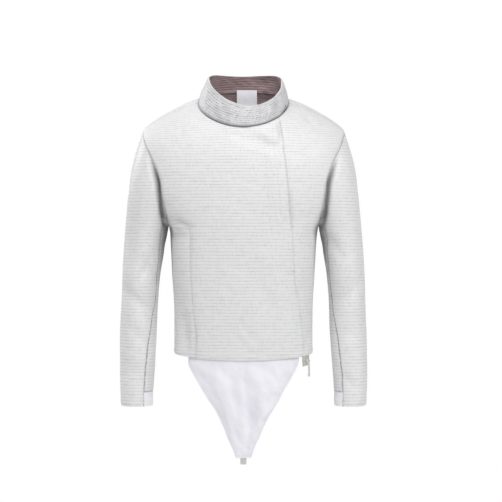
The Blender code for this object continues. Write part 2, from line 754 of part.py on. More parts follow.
def panel(name, lattice, finish, wall=WALL, cells=None):
    """A closed wall over a lattice's cells, drawn back from its seams."""
    cells = cells or cells_of(lattice)
    back = drawn_back(lattice, cells)
    bm = bmesh.new()
    outer, inner = {}, {}
    for at in sorted({corner for cell in cells for corner in corners_of(cell)}):
        point = lattice.points[at] + back.get(at, 0)
        outer[at] = bm.verts.new(point - lattice.inward[at] * lattice.raised[at])
        inner[at] = bm.verts.new(point + lattice.inward[at] * wall)
    for cell in cells:
        for corners in halves_of(cell):
            bm.faces.new([outer[at] for at in corners])
            bm.faces.new([inner[at] for at in reversed(corners)])
    for (a, b), _ in rim_edges(cells):
        wall_face = [outer[b], outer[a], inner[a], inner[b]]
        low, high = (tuple(np.round(lattice.points[at], 6)) for at in (a, b))
        if low > high:
            wall_face = [outer[a], inner[a], inner[b], outer[b]]
        bm.faces.new([wall_face[0], wall_face[1], wall_face[2]])
        bm.faces.new([wall_face[0], wall_face[2], wall_face[3]])
    a, b, _, d = (lattice.points[at] for at in corners_of(cells[0]))
    if np.dot(np.cross(b - a, d - a), lattice.normals[cells[0]]) < 0:
        bmesh.ops.reverse_faces(bm, faces=bm.faces[:])
    mesh = bpy.data.meshes.new(name)
    bm.to_mesh(mesh)
    bm.free()
    return add_object(name, mesh, finish)


def sheet(name, lattice, finish, wall, ring=False):
    """An open sheet over a whole lattice, thickened inwards; a ring's last column is its first."""
    rows, columns = lattice.points.shape[:2]
    around = columns - 1 if ring else columns
    bm = bmesh.new()
    verts = [[bm.verts.new(lattice.points[r, c]) for c in range(around)] for r in range(rows)]
    for cell in cells_of(lattice):
        for corners in halves_of(cell):
            bm.faces.new([verts[r][c % around] for r, c in corners])
    a, b, _, d = (lattice.points[at] for at in corners_of((0, 0)))
    if np.dot(np.cross(b - a, d - a), lattice.normals[0, 0]) < 0:
        bmesh.ops.reverse_faces(bm, faces=bm.faces[:])
    mesh = bpy.data.meshes.new(name)
    bm.to_mesh(mesh)
    bm.free()
    piece = add_object(name, mesh, finish)
    solidify = piece.modifiers.new("wall", "SOLIDIFY")
    solidify.thickness = wall
    solidify.offset = -1
    solidify.use_even_offset = True
    return piece


def torso_blocks():
    """The three stretches of the body: wide front, under front and back, on the same rows."""
    front = torso_lattice(front_lines, FRONT_STRIPS, ROWS)
    under = torso_lattice(under_lines, UNDER_STRIPS, ROWS)
    back = torso_lattice(back_lines, BACK_STRIPS, ROWS)
    under.raised[:, :UNDER_FLAT_COLUMNS] = 0
    return front, under, back


def neck_turns():
    """The turns of the body's columns at the neckline, once round."""
    blocks = (front_lines, FRONT_STRIPS), (under_lines, UNDER_STRIPS), (back_lines, BACK_STRIPS)
    turns = [divided(lines(0), strips)[:-1] for lines, strips in blocks]
    return [turn for block in turns for turn in block]


def join_collar(collar, front, under, back):
    """Gives the collar's foot and the neckline the same way in, column by column."""
    column = 0
    for block in (front, under, back):
        for block_column in range(block.points.shape[1]):
            at = (column + block_column) % collar.points.shape[1]
            block.inward[0, block_column] = mitre(block.normals[0, block_column], collar.normals[0, at])
            collar.inward[0, at] = block.inward[0, block_column]
        column += block.points.shape[1] - 1


def flap_raised(front):
    """The wide front with its closing edge raised over the under front."""
    raised = Lattice(*front.fields())
    out = np.array([0] * (sum(FRONT_STRIPS) - 2) + [1, 1, 1])
    free = np.array([eased(row, 0, FLAP_FREE_FROM) for row in ROWS])
    raised.points -= raised.inward * (free[:, None] * out * FLAP_RAISE)[:, :, None]
    return raised


def make_body(front, under, back):
    def above_pit_or_right_of(column):
        return lambda r, c: r < PIT_INDEX or c >= column

    flap = flap_raised(front)
    panel("front_main", flap, LAME, cells=cells_of(flap, above_pit_or_right_of(PANEL_SEAM_INDEX)))
    left = under.beside(back.part(slice(None), slice(0, LEFT_BACK_INDEX + 1)))
    edge = sum(UNDER_STRIPS)
    panel("front_under", left, LAME, cells=cells_of(left, lambda r, c: r >= PIT_INDEX or c < edge))
    below = slice(PIT_INDEX, None)
    right_back = back.part(below, slice(RIGHT_BACK_INDEX, None))
    panel("side_panel", right_back.beside(front.part(below, slice(0, PANEL_SEAM_INDEX + 1))), LAME)
    inside = range(LEFT_BACK_INDEX, RIGHT_BACK_INDEX)
    panel("back", back, LAME, cells=cells_of(back, lambda r, c: r < PIT_INDEX or c in inside))


def make_sleeve(side_name, sleeve):
    """The upper and under sleeve, and the cotton inset that ends the under sleeve."""
    last = 2 * ARMHOLE_STEPS
    everything = slice(None)
    upper = sleeve.part(everything, slice(SEAM_STEP_BACK, last + 1)).beside(
        sleeve.part(everything, slice(0, SEAM_STEP_FRONT + 1))
    )
    panel(f"sleeve_upper_{side_name}", upper, LAME)
    under = sleeve.part(everything, slice(SEAM_STEP_FRONT, SEAM_STEP_BACK + 1))
    under.raised[:] = 0
    inset_row = CAP_STEPS + len(ARM_ROWS)
    panel(f"sleeve_under_{side_name}", under.part(slice(0, inset_row + 1), everything), LAME)
    inset = under.part(slice(inset_row, None), everything)
    panel(f"cuff_inset_{side_name}", inset, "white_cotton", COTTON_WALL)


def make_collar(collar, turns):
    """The stand collar's three pieces, and the lining inside it."""
    last = len(turns)
    under_index = sum(FRONT_STRIPS) + sum(UNDER_STRIPS)
    centre_back = under_index + CENTRE_BACK_INDEX
    everything = slice(None)
    lift_collar_edge(collar, turns)
    collar.raised[0] = COLLAR_PROUD
    ring = collar.closed()
    right = ring.part(everything, slice(centre_back, last + 1)).beside(
        ring.part(everything, slice(0, COLLAR_RIGHT_INDEX + 1))
    )
    panel("collar_right", right, LAME, COLLAR_WALL)
    middle = ring.part(everything, slice(COLLAR_RIGHT_INDEX, COLLAR_LEFT_INDEX + 1))
    panel("collar_front", middle, LAME, COLLAR_WALL)
    left = ring.part(everything, slice(COLLAR_LEFT_INDEX, centre_back + 1))
    panel("collar_left", left, LAME, COLLAR_WALL)
    inside = collar_lattice(turns, LINING_ROWS).closed().moved_in(COLLAR_WALL + LAYER)
    sheet("collar_lining", inside, "taupe_lining", LINING_WALL, ring=True)


def label_lines(row):
    return tuple(shifted(180, row, side * LABEL_WIDTH / 2 - LABEL_X) for side in (-1, 1))


def make_neck_inside():
    """The lining inside the back neck, and the label on it."""
    yoke = torso_lattice(back_lines, BACK_STRIPS, YOKE_LINING_ROWS)
    yoke = yoke.part(slice(None), slice(1, -1)).moved_in(WALL + 2 * LAYER)
    sheet("yoke_lining", yoke, "taupe_lining", LINING_WALL)
    label = torso_lattice(label_lines, (LABEL_STRIPS,), LABEL_ROWS)
    depth = WALL + 2 * LAYER + LINING_WALL + LOOSE_LAYER
    sheet("neck_label", label.moved_in(depth), "white_cotton", LABEL_WALL)


def make_crotch():
    sheet("crotch_panel", crotch_lattice(), "white_cotton", COTTON_WALL)
    strap = sheet("crotch_strap", strap_lattice(), "grey_elastic", STRAP_WALL)
    strap.modifiers["wall"].offset = 0


def tape_lattice():
    rows = [row for row in ROWS if row >= TAPE_FIRST_ROW] + list(TAPE_END_ROWS)
    tape = torso_lattice(under_lines, UNDER_STRIPS, rows).part(slice(None), slice(1, 4))
    return tape.moved_in(WALL + LAYER)


def zip_frame():
    """An empty on the tape's outer face, its X along the face and its Y into the garment."""
    turn = shifted(closure_turn(SLIDER_ROW), SLIDER_ROW, TAPE_MIDDLE)
    normal = torso_normal(turn, SLIDER_ROW)
    frame = bpy.data.objects.new("zip_frame", None)
    frame.location = torso_point(turn, SLIDER_ROW) - normal * (WALL + LAYER)
    frame.rotation_euler = (0, 0, math.atan2(normal[0], -normal[1]))
    GARMENT.objects.link(frame)
    return frame


def placed(piece, name, collection, frame, location):
    """Names a new primitive, moves it to a collection and sets it in a frame."""
    for owner in list(piece.users_collection):
        owner.objects.unlink(piece)
    collection.objects.link(piece)
    piece.name = piece.data.name = name
    piece.parent = frame
    piece.location = location
    if collection == CUTTERS:
        piece.hide_render = True
        piece.display_type = "WIRE"
    return piece


def block(name, collection, frame, size, location):
    bpy.ops.mesh.primitive_cube_add(size=1)
    piece = placed(bpy.context.object, name, collection, frame, location)
    for vertex in piece.data.vertices:
        vertex.co = [value * side for value, side in zip(vertex.co, size)]
    return piece


def pin(name, collection, frame, radius, length, location):
    """A cylinder along X."""
    turned_on_side = (0, math.radians(90), 0)
    bpy.ops.mesh.primitive_cylinder_add(
        vertices=ROUND_SIDES, radius=radius, depth=length, rotation=turned_on_side
    )
    return placed(bpy.context.object, name, collection, frame, location)


def boolean(piece, other, operation):
    modifier = piece.modifiers.new(f"{operation.lower()} {other.name}", "BOOLEAN")
    modifier.operation = operation
    modifier.object = other


def rounded(piece, width):
    bevel = piece.modifiers.new("rounded edges", "BEVEL")
    bevel.width = width
    bevel.segments = 2


def make_slider(frame):
    wide, deep, high = SLIDER_SIZE
    face = -LAYER - deep
    slider = block("zip_slider", GARMENT, frame, SLIDER_SIZE, (0, -LAYER - deep / 2, 0))
    for vertex in slider.data.vertices:
        if vertex.co.z < 0:
            vertex.co.x *= SLIDER_TAPER
    slider.data.materials.append(material("bright_metal"))
    rounded(slider, SLIDER_ROUNDING)
    lug_depth = SLIDER_LUG[1]
    for side in (-1, 1):
        x = side * (SLIDER_LUG_APART + SLIDER_LUG[0]) / 2
        place = (x, face + LUG_SUNK - lug_depth / 2, PIN_Z)
        boolean(slider, block(f"lug_{side}", CUTTERS, frame, SLIDER_LUG, place), "UNION")
    length = SLIDER_LUG_APART + SLIDER_LUG[0]
    boolean(slider, pin("pin", CUTTERS, frame, PIN_RADIUS, length, (0, PIN_Y, PIN_Z)), "UNION")


def make_pull(frame):
    """The pull tab, hanging from the slider's pin; its origin is on the pin's axis."""
    pivot = (0, PIN_Y, PIN_Z)
    length = PULL_LENGTH - PULL_TOP
    size = (PULL_WIDTH, PULL_THICK, length)
    pull = block("zip_pull", GARMENT, frame, size, pivot)
    for vertex in pull.data.vertices:
        if vertex.co.z > 0:
            vertex.co.x *= PULL_NECK / PULL_WIDTH
        vertex.co.z -= PULL_TOP + length / 2
    pull.data.materials.append(material("bright_metal"))
    rounded(pull, PULL_ROUNDING)
    eye_width = SLIDER_LUG_APART - 2 * LAYER
    stem_size = (eye_width, PULL_THICK, PULL_TOP + PULL_STEM_SUNK)
    stem = block("stem", CUTTERS, frame, stem_size, pivot)
    stem.location.z -= stem_size[2] / 2
    boolean(pull, stem, "UNION")
    boolean(pull, pin("eye", CUTTERS, frame, PULL_EYE_RADIUS, eye_width, pivot), "UNION")
    hole = pin("eye_hole", CUTTERS, frame, PULL_EYE_HOLE, CUTTER_OVERLONG * eye_width, pivot)
    boolean(pull, hole, "DIFFERENCE")
    slot_size = (PULL_SLOT_WIDTH, CUTTER_OVERLONG * PULL_THICK, PULL_SLOT_LENGTH)
    slot = block("slot", CUTTERS, frame, slot_size, (0, PIN_Y, PIN_Z + PULL_SLOT_Z))
    boolean(pull, slot, "DIFFERENCE")


def clear_scene():
    for item in list(bpy.data.objects):
        bpy.data.objects.remove(item)
    for group in list(bpy.data.collections):
        bpy.data.collections.remove(group)


def new_collection(name):
    group = bpy.data.collections.new(name)
    bpy.context.scene.collection.children.link(group)
    return group


def make_garment():
    front, under, back = torso_blocks()
    turns = neck_turns()
    collar = collar_lattice(turns, COLLAR_ROWS)
    join_collar(collar, front, under, back)
    left = sleeve_lattice(1, under, -1, back, 0)
    right = sleeve_lattice(-1, front, 0, back, -1)
    make_body(front, under, back)
    make_sleeve("left", left)
    make_sleeve("right", right)
    make_collar(collar, turns)
    make_neck_inside()
    make_crotch()
    sheet("zip_tape", tape_lattice(), "olive_tape", TAPE_WALL)
    frame = zip_frame()
    make_slider(frame)
    make_pull(frame)


clear_scene()
GARMENT = new_collection("fencing_lame")
CUTTERS = new_collection("cutters")
make_garment()
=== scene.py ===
"""The looks of a sabre fencer's over-jacket: its cloth, folds, stitching and zip, in a pale studio.

Metres, +Z up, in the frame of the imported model. The front faces -Y and the wearer's left is +X.
"""

import math
from collections import namedtuple

import bpy
import numpy as np
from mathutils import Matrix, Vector, kdtree, noise


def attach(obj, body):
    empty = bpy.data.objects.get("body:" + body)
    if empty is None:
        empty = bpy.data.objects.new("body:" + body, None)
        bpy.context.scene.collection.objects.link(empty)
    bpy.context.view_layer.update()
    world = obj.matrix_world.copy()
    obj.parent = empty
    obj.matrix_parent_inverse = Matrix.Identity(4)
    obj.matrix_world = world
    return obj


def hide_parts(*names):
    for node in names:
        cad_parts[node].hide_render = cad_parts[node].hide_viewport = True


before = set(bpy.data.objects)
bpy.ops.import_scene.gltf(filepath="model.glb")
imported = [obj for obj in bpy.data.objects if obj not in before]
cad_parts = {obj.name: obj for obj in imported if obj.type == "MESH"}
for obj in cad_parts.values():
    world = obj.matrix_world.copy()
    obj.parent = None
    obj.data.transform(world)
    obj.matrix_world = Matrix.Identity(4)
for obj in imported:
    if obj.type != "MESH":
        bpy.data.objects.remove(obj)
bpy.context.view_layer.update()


def rows_of(kind, *rows):
    """A table of rows that have named columns."""
    return tuple(kind(*row) for row in rows)


# Cloth thicknesses, and the clear spaces between layers
WALL = 0.0018
COLLAR_WALL = 0.0030
LINING_WALL = 0.0010
COTTON_WALL = 0.0012
TAPE_WALL = 0.0010
STRAP_WALL = 0.0016
LABEL_WALL = 0.0008
LAYER = 0.00040
LOOSE_LAYER = 0.0013

# How finely the cloth is divided: places in each strip, closest beside the seams, and row steps
SPLITS = (0, 0.06, 0.2, 0.4, 0.6, 0.8, 0.94)
FINER = len(SPLITS)
ROW_STEP_MOST = 0.016
LABEL_STEPS = 12

# Lattice of the body
YOKE_ROWS = (0.0, 0.14, 0.34, 0.56, 0.78)
ARMHOLE_STEPS = 60
FLANK_ROWS = (2.12, 2.24, 2.36, 2.48, 2.60, 2.72, 2.81, 2.88, 2.935, 2.957, 2.964, 2.982)
HEM_ROW = 3.0
HEM_FOLD_ROW = 2.96
HEM_RAISE = 0.0007
FRONT_STRIPS = (4, 3, 2, 3, 1, 1, 1)
UNDER_STRIPS = (1, 1, 1, 3)
BACK_STRIPS = (3, 4, 4, 3)
UNDER_FLAT_STRIPS = 2

# Rows of the body's rings: the neckline is 0, the shoulder tips 1, the armpits 2, the hem 3
TIP = 1.0
Ring = namedtuple("Ring", "row half_width front back side_z front_z back_z squareness")
TORSO = rows_of(
    Ring,
    (0.00, 0.1010, 0.0920, 0.0780, 0.000, -0.060, 0.030, 2.10),
    (0.25, 0.1290, 0.0985, 0.0885, -0.007, -0.077, 0.015, 2.12),
    (0.50, 0.1620, 0.1050, 0.0980, -0.022, -0.095, -0.003, 2.14),
    (0.75, 0.1960, 0.1115, 0.1060, -0.040, -0.116, -0.026, 2.16),
    (0.90, 0.2150, 0.1148, 0.1095, -0.053, -0.131, -0.045, 2.18),
    (1.00, 0.2265, 0.1167, 0.1115, -0.064, -0.142, -0.060, 2.20),
    (1.12, 0.2350, 0.1188, 0.1135, -0.084, -0.157, -0.081, 2.26),
    (1.25, 0.2370, 0.1207, 0.1150, -0.112, -0.174, -0.107, 2.36),
    (1.50, 0.2280, 0.1235, 0.1170, -0.168, -0.210, -0.162, 2.50),
    (1.75, 0.2000, 0.1250, 0.1170, -0.225, -0.248, -0.221, 2.60),
    (1.90, 0.1790, 0.1255, 0.1160, -0.257, -0.271, -0.256, 2.60),
    (2.00, 0.1690, 0.1257, 0.1150, -0.279, -0.287, -0.281, 2.60),
    (2.12, 0.1635, 0.1255, 0.1140, -0.309, -0.315, -0.311, 2.58),
    (2.35, 0.1602, 0.1240, 0.1110, -0.376, -0.383, -0.379, 2.55),
    (2.70, 0.1553, 0.1200, 0.1070, -0.475, -0.484, -0.479, 2.50),
    (3.00, 0.1548, 0.1160, 0.1050, -0.560, -0.572, -0.566, 2.50),
    (3.10, 0.1548, 0.1150, 0.1040, -0.588, -0.600, -0.594, 2.50),
)

# Turns round the body, in degrees from the centre front; steps along its surface; the armholes
RIGHT_SIDE = -90
LEFT_SIDE = 90
CENTRE_BACK = 180
TURN_STEP = 0.5
ROW_STEP = 0.01
HALVINGS = 40
SHIFT_STEPS = 8
ARMHOLE_FRONT = 40
ARMHOLE_BACK = 34
ARMHOLE_LEAN = 0.17

# How far two walls that meet at an angle reach into each other, and which angles are a notch
MITRE_MOST = 1.7
NOTCH_DEEP = -0.2
NOTCH_SHALLOW = 0.4

# How the weave runs up the chest and over the slope of the shoulders
CHEST_ROW = 1.40
CHEST_Z = -0.165
SLOPE_POWER_FRONT = 1.6
SLOPE_POWER_BACK = 1.1
SLOPE_FULL_RISE = 0.055

# Seams and lines of the body
COLLAR_SEAM_RIGHT_X = -0.0265
BACK_SEAM = 128
Line = namedtuple("Line", "row x")
PANEL_SEAM = rows_of(
    Line,
    (0.0, -0.070),
    (1.0, -0.108),
    (2.0, -0.118),
    (3.0, -0.104),
)
COLLAR_SEAM_LEFT = rows_of(
    Line,
    (0.0, 0.0405),
    (0.5, 0.0320),
    (3.1, 0.0300),
)
CLOSURE = rows_of(
    Line,
    (0.00, 0.078),
    (0.50, 0.086),
    (1.00, 0.092),
    (1.50, 0.099),
    (2.00, 0.106),
    (2.38, 0.112),
    (2.57, 0.121),
    (2.73, 0.127),
    (2.94, 0.134),
    (3.10, 0.137),
)
FLAP_LAP = 0.022
FLAP_RAMP = 0.012
FLAP_RAISE = WALL + LAYER
FLAP_CORNER = 0.017
FLAP_FREE_FROM = 0.14
FLAP_FULL_FROM = 0.50
FLAP_STRIPS = 2
FLAP_RISE_STRIPS = 3
TAPE_EDGE_AT_NECK = 0.006
TAPE_EDGE_FRONT = -0.006
TAPE_MIDDLE = 0.011
TAPE_EDGE_BACK = 0.028
TAPE_FIRST_ROW = 0.50
TAPE_STRIPS = (1, 3)
TAPE_END_ROWS = (3.045, 3.082)

# Folds of the body: troughs (or ridges) between two places of the body, in turn and row
Fold = namedtuple("Fold", "turn_a row_a turn_b row_b width depth")
BODY_FOLDS = rows_of(
    Fold,
    (-88, 2.02, -46, 2.06, 0.015, -0.0045),
    (88, 1.98, 60, 2.05, 0.016, -0.0035),
    (-2, 0.30, 34, 0.95, 0.020, -0.0030),
    (-62, 2.35, -56, 2.90, 0.024, -0.0035),
    (52, 2.10, 66, 2.75, 0.022, -0.0030),
    (18, 2.30, 6, 2.80, 0.040, 0.0030),
    (132, 1.25, 150, 2.10, 0.024, -0.0070),
    (-128, 1.20, -146, 2.20, 0.022, -0.0065),
    (176, 2.25, 168, 2.95, 0.026, -0.0065),
    (-150, 2.45, -160, 2.98, 0.022, -0.0055),
    (112, 2.05, 146, 2.12, 0.018, -0.0040),
    (-110, 2.03, -140, 2.16, 0.018, -0.0035),
)
FOLD_LEAST = 0.45
FOLD_FACING = (0.05, 0.45)
METRES_PER_DEGREE = 0.0022
METRES_PER_ROW = 0.26

# Smaller folds of the body, in metres, on the front (face -1) or the back (face 1)
SmallFold = namedtuple("SmallFold", "face x_a z_a x_b z_b width depth")
SMALL_FOLDS = rows_of(
    SmallFold,
    (-1, 0.006, -0.070, 0.078, -0.116, 0.012, -0.0020),
    (-1, 0.020, -0.062, 0.070, -0.088, 0.010, 0.0010),
    (-1, 0.134, -0.028, 0.160, -0.058, 0.005, -0.0020),
    (-1, -0.162, -0.256, -0.116, -0.280, 0.006, -0.0060),
    (-1, -0.156, -0.276, -0.121, -0.292, 0.007, 0.0022),
    (-1, -0.115, -0.284, -0.117, -0.350, 0.007, -0.0026),
    (-1, -0.130, -0.480, -0.126, -0.566, 0.012, -0.0075),
    (-1, -0.104, -0.490, -0.112, -0.568, 0.007, -0.0044),
    (-1, 0.020, -0.372, 0.080, -0.520, 0.027, -0.0034),
    (-1, -0.032, -0.500, 0.016, -0.556, 0.006, -0.0018),
    (-1, -0.012, -0.486, 0.038, -0.545, 0.007, -0.0015),
    (-1, 0.080, -0.530, 0.082, -0.568, 0.005, -0.0018),
    (-1, 0.128, -0.520, 0.133, -0.562, 0.005, -0.0016),
    (-1, 0.100, -0.212, 0.104, -0.284, 0.006, -0.0042),
    (-1, 0.081, -0.246, 0.083, -0.262, 0.004, -0.0014),
    (-1, -0.172, -0.056, -0.176, -0.094, 0.005, -0.0012),
    (-1, -0.154, -0.052, -0.158, -0.100, 0.006, -0.0013),
    (-1, -0.138, -0.050, -0.136, -0.090, 0.005, -0.0010),
    (-1, -0.060, -0.300, -0.090, -0.470, 0.030, -0.0018),
    (-1, 0.150, -0.250, 0.118, -0.268, 0.008, -0.0024),
    (-1, 0.079, -0.054, 0.085, -0.096, 0.005, -0.0042),
    (-1, 0.084, -0.082, 0.088, -0.108, 0.004, 0.0014),
    (-1, 0.100, -0.322, 0.114, -0.430, 0.004, -0.0022),
    (-1, 0.115, -0.420, 0.123, -0.536, 0.004, -0.0020),
    (-1, 0.110, -0.372, 0.130, -0.388, 0.004, 0.0018),
    (-1, 0.114, -0.398, 0.136, -0.410, 0.004, -0.0022),
    (-1, 0.118, -0.436, 0.140, -0.452, 0.004, 0.0016),
    (-1, 0.122, -0.470, 0.142, -0.492, 0.004, -0.0020),
    (-1, 0.126, -0.512, 0.146, -0.532, 0.004, -0.0018),
    (-1, 0.049, -0.528, 0.040, -0.560, 0.004, -0.0020),
    (-1, 0.060, -0.532, 0.069, -0.562, 0.004, -0.0022),
    (-1, 0.098, -0.548, 0.112, -0.562, 0.004, -0.0018),
    (1, -0.052, -0.010, -0.110, -0.075, 0.012, -0.0022),
    (1, 0.046, -0.014, 0.098, -0.082, 0.010, -0.0026),
    (1, 0.168, -0.215, 0.092, -0.262, 0.013, -0.0036),
    (1, -0.172, -0.205, -0.104, -0.270, 0.011, -0.0032),
    (1, -0.152, -0.262, -0.096, -0.300, 0.008, 0.0020),
    (1, 0.038, -0.330, 0.014, -0.490, 0.024, -0.0030),
    (1, -0.048, -0.360, -0.066, -0.540, 0.018, -0.0026),
    (1, 0.092, -0.470, 0.104, -0.566, 0.009, -0.0028),
    (1, -0.112, -0.500, -0.104, -0.568, 0.007, -0.0022),
    (1, 0.006, -0.500, 0.046, -0.548, 0.007, -0.0016),
    (1, -0.010, -0.110, 0.012, -0.235, 0.028, -0.0020),
)

# Smaller folds of the sleeves, the same way; x is positive on the wearer's left
SLEEVE_FOLDS = rows_of(
    SmallFold,
    (-1, -0.192, -0.330, -0.232, -0.400, 0.010, -0.0042),
    (-1, -0.262, -0.420, -0.214, -0.452, 0.009, -0.0038),
    (-1, -0.250, -0.500, -0.212, -0.545, 0.012, -0.0032),
    (-1, -0.218, -0.590, -0.262, -0.612, 0.008, -0.0029),
    (-1, 0.186, -0.300, 0.222, -0.352, 0.011, -0.0048),
    (-1, 0.262, -0.398, 0.210, -0.446, 0.010, -0.0042),
    (-1, 0.222, -0.512, 0.266, -0.530, 0.010, -0.0032),
    (-1, 0.214, -0.600, 0.250, -0.640, 0.009, -0.0035),
    (1, -0.196, -0.300, -0.250, -0.372, 0.012, -0.0051),
    (1, -0.206, -0.452, -0.262, -0.470, 0.009, -0.0038),
    (1, -0.250, -0.580, -0.214, -0.622, 0.010, -0.0032),
    (1, 0.200, -0.290, 0.252, -0.344, 0.011, -0.0045),
    (1, 0.210, -0.430, 0.266, -0.462, 0.010, -0.0048),
    (1, 0.216, -0.560, 0.256, -0.606, 0.011, -0.0029),
)

# Smaller folds of the collar, the same way
COLLAR_FOLDS = rows_of(
    SmallFold,
    (-1, -0.082, 0.022, -0.062, -0.040, 0.006, -0.0022),
    (-1, -0.060, 0.004, -0.046, -0.046, 0.005, 0.0018),
    (-1, -0.022, -0.008, -0.030, -0.052, 0.004, 0.0020),
    (-1, -0.014, -0.014, -0.022, -0.050, 0.004, -0.0018),
    (-1, 0.014, -0.020, 0.006, -0.054, 0.006, -0.0016),
    (-1, 0.040, -0.012, 0.046, -0.050, 0.004, -0.0020),
    (-1, 0.058, 0.000, 0.062, -0.040, 0.005, 0.0018),
    (-1, 0.078, 0.020, 0.076, -0.030, 0.006, -0.0024),
    (1, -0.060, 0.040, -0.046, 0.006, 0.006, -0.0022),
    (1, -0.020, 0.052, -0.032, 0.018, 0.005, 0.0016),
    (1, 0.018, 0.050, 0.026, 0.020, 0.006, -0.0018),
    (1, 0.056, 0.040, 0.050, 0.008, 0.005, -0.0024),
)

# Where the sleeves are sewn in, body and sleeve turn in to a crease
CREASE_WIDTH = 0.0060
CREASE_FRONT = 0.0020
CREASE_BACK = 0.0028
SLEEVE_CREASE_WIDTH = 0.0042
SLEEVE_CREASE_FRONT = 0.0180
SLEEVE_CREASE_BACK = 0.0060
SLEEVE_STILL = 0.012
CREASE_START = (0.04, 0.35)
CREASE_END = (0.85, 1)
SLEEVE_CREASE_START = (0.04, 0.45)
SLEEVE_CREASE_END = (0.88, 0.99)
SLEEVE_CREASE_ENDING = 0.9
NECK_STILL = (0, 0.15)

# Unevenness of worn cloth: size across, size up, and height
Crumple = namedtuple("Crumple", "across up height")
CRUMPLES = (Crumple(0.070, 0.110, 0.0012), Crumple(0.022, 0.040, 0.00035))
COLLAR_CRUMPLES = (Crumple(0.032, 0.024, 0.0018), Crumple(0.012, 0.010, 0.0009))
COTTON_CRUMPLES = (Crumple(0.045, 0.080, 0.0016), Crumple(0.014, 0.030, 0.0004))

# Collar
RIM = Ring(0, 0.0835, 0.080, 0.074, 0.052, -0.013, 0.068, 2.10)
RIM_TURN = 6
COLLAR_STEPS = 24
COLLAR_BULGE = 0.0025
COLLAR_PROUD = 0.0022
COLLAR_FOOT = 0.06
COLLAR_LAP = 0.035
COLLAR_STILL = (0, 0.2)
RIM_SHIFT = 0.0045
COLLAR_LIFT = 0.0125
COLLAR_LIFT_TURN = 74
COLLAR_LIFT_SPREAD = 12
LINING_ENDS = (0.0, 0.995)
YOKE_LINING_ROWS = (0.004, 0.14, 0.34, 0.56, 0.78, 1.0)
LABEL_WIDTH = 0.047
LABEL_X = 0.007
LABEL_STRIPS = 3
LABEL_TOP = 0.16
LABEL_DROP = 0.052
LABEL_LEAN = 0.010
LABEL_WAVE = 0.0012

# Sleeves: rings below the cap, for the wearer's left arm; the right one mirrors them
SleeveRing = namedtuple("SleeveRing", "z x half_width y half_depth front_seam back_seam")
SLEEVE = rows_of(
    SleeveRing,
    (-0.335, 0.2240, 0.0450, -0.004, 0.0640, 148, 212),
    (-0.389, 0.2294, 0.0426, -0.006, 0.0600, 154, 210),
    (-0.443, 0.2324, 0.0412, -0.007, 0.0560, 155, 212),
    (-0.497, 0.2345, 0.0411, -0.009, 0.0530, 138, 220),
    (-0.578, 0.2374, 0.0394, -0.015, 0.0480, 125, 232),
    (-0.646, 0.2390, 0.0367, -0.021, 0.0440, 122, 236),
    (-0.677, 0.2380, 0.0355, -0.024, 0.0420, 122, 236),
)
CAP_STEPS = 40
CAP_SHARES = (0, 0.004, 0.010, 0.018, 0.027, 0.037, 0.049, 0.063, 0.080, 0.100)
ARM_END_Z = -0.646
ARM_ROW_STEP = 0.005
CUFF_ROWS = (-0.6625, -0.6655, -0.671, -0.677)
CUFF_FOLD_Z = -0.664
CUFF_RAISE = 0.0006
SEAM_STEP_FRONT = 48
SEAM_STEP_BACK = 72
CAP_START = (0.22, 0.00, -0.97)
CAP_SPREAD = (0.48, 0.00, 0.42)
CAP_END = (0.06, -0.02, -1.00)

# Folds of the sleeves: arm side (+1 the wearer's left), place round the arm and height at both ends
ArmFold = namedtuple("ArmFold", "side turn_a z_a turn_b z_b width depth")
ARM_FOLDS = rows_of(
    ArmFold,
    (1, 60, -0.405, 150, -0.450, 0.022, -0.0052),
    (1, 30, -0.480, 120, -0.520, 0.020, -0.0039),
    (1, 240, -0.430, 320, -0.400, 0.022, -0.0046),
    (1, 20, -0.200, 70, -0.330, 0.026, -0.0046),
    (1, 250, -0.600, 330, -0.560, 0.020, -0.0033),
    (-1, 50, -0.430, 145, -0.470, 0.024, -0.0059),
    (-1, 70, -0.350, 140, -0.385, 0.020, -0.0039),
    (-1, 25, -0.220, 60, -0.350, 0.024, -0.0046),
    (-1, 230, -0.410, 310, -0.440, 0.024, -0.0046),
    (-1, 30, -0.585, 110, -0.610, 0.020, -0.0033),
)
ARM_METRES_PER_DEGREE = 0.0009

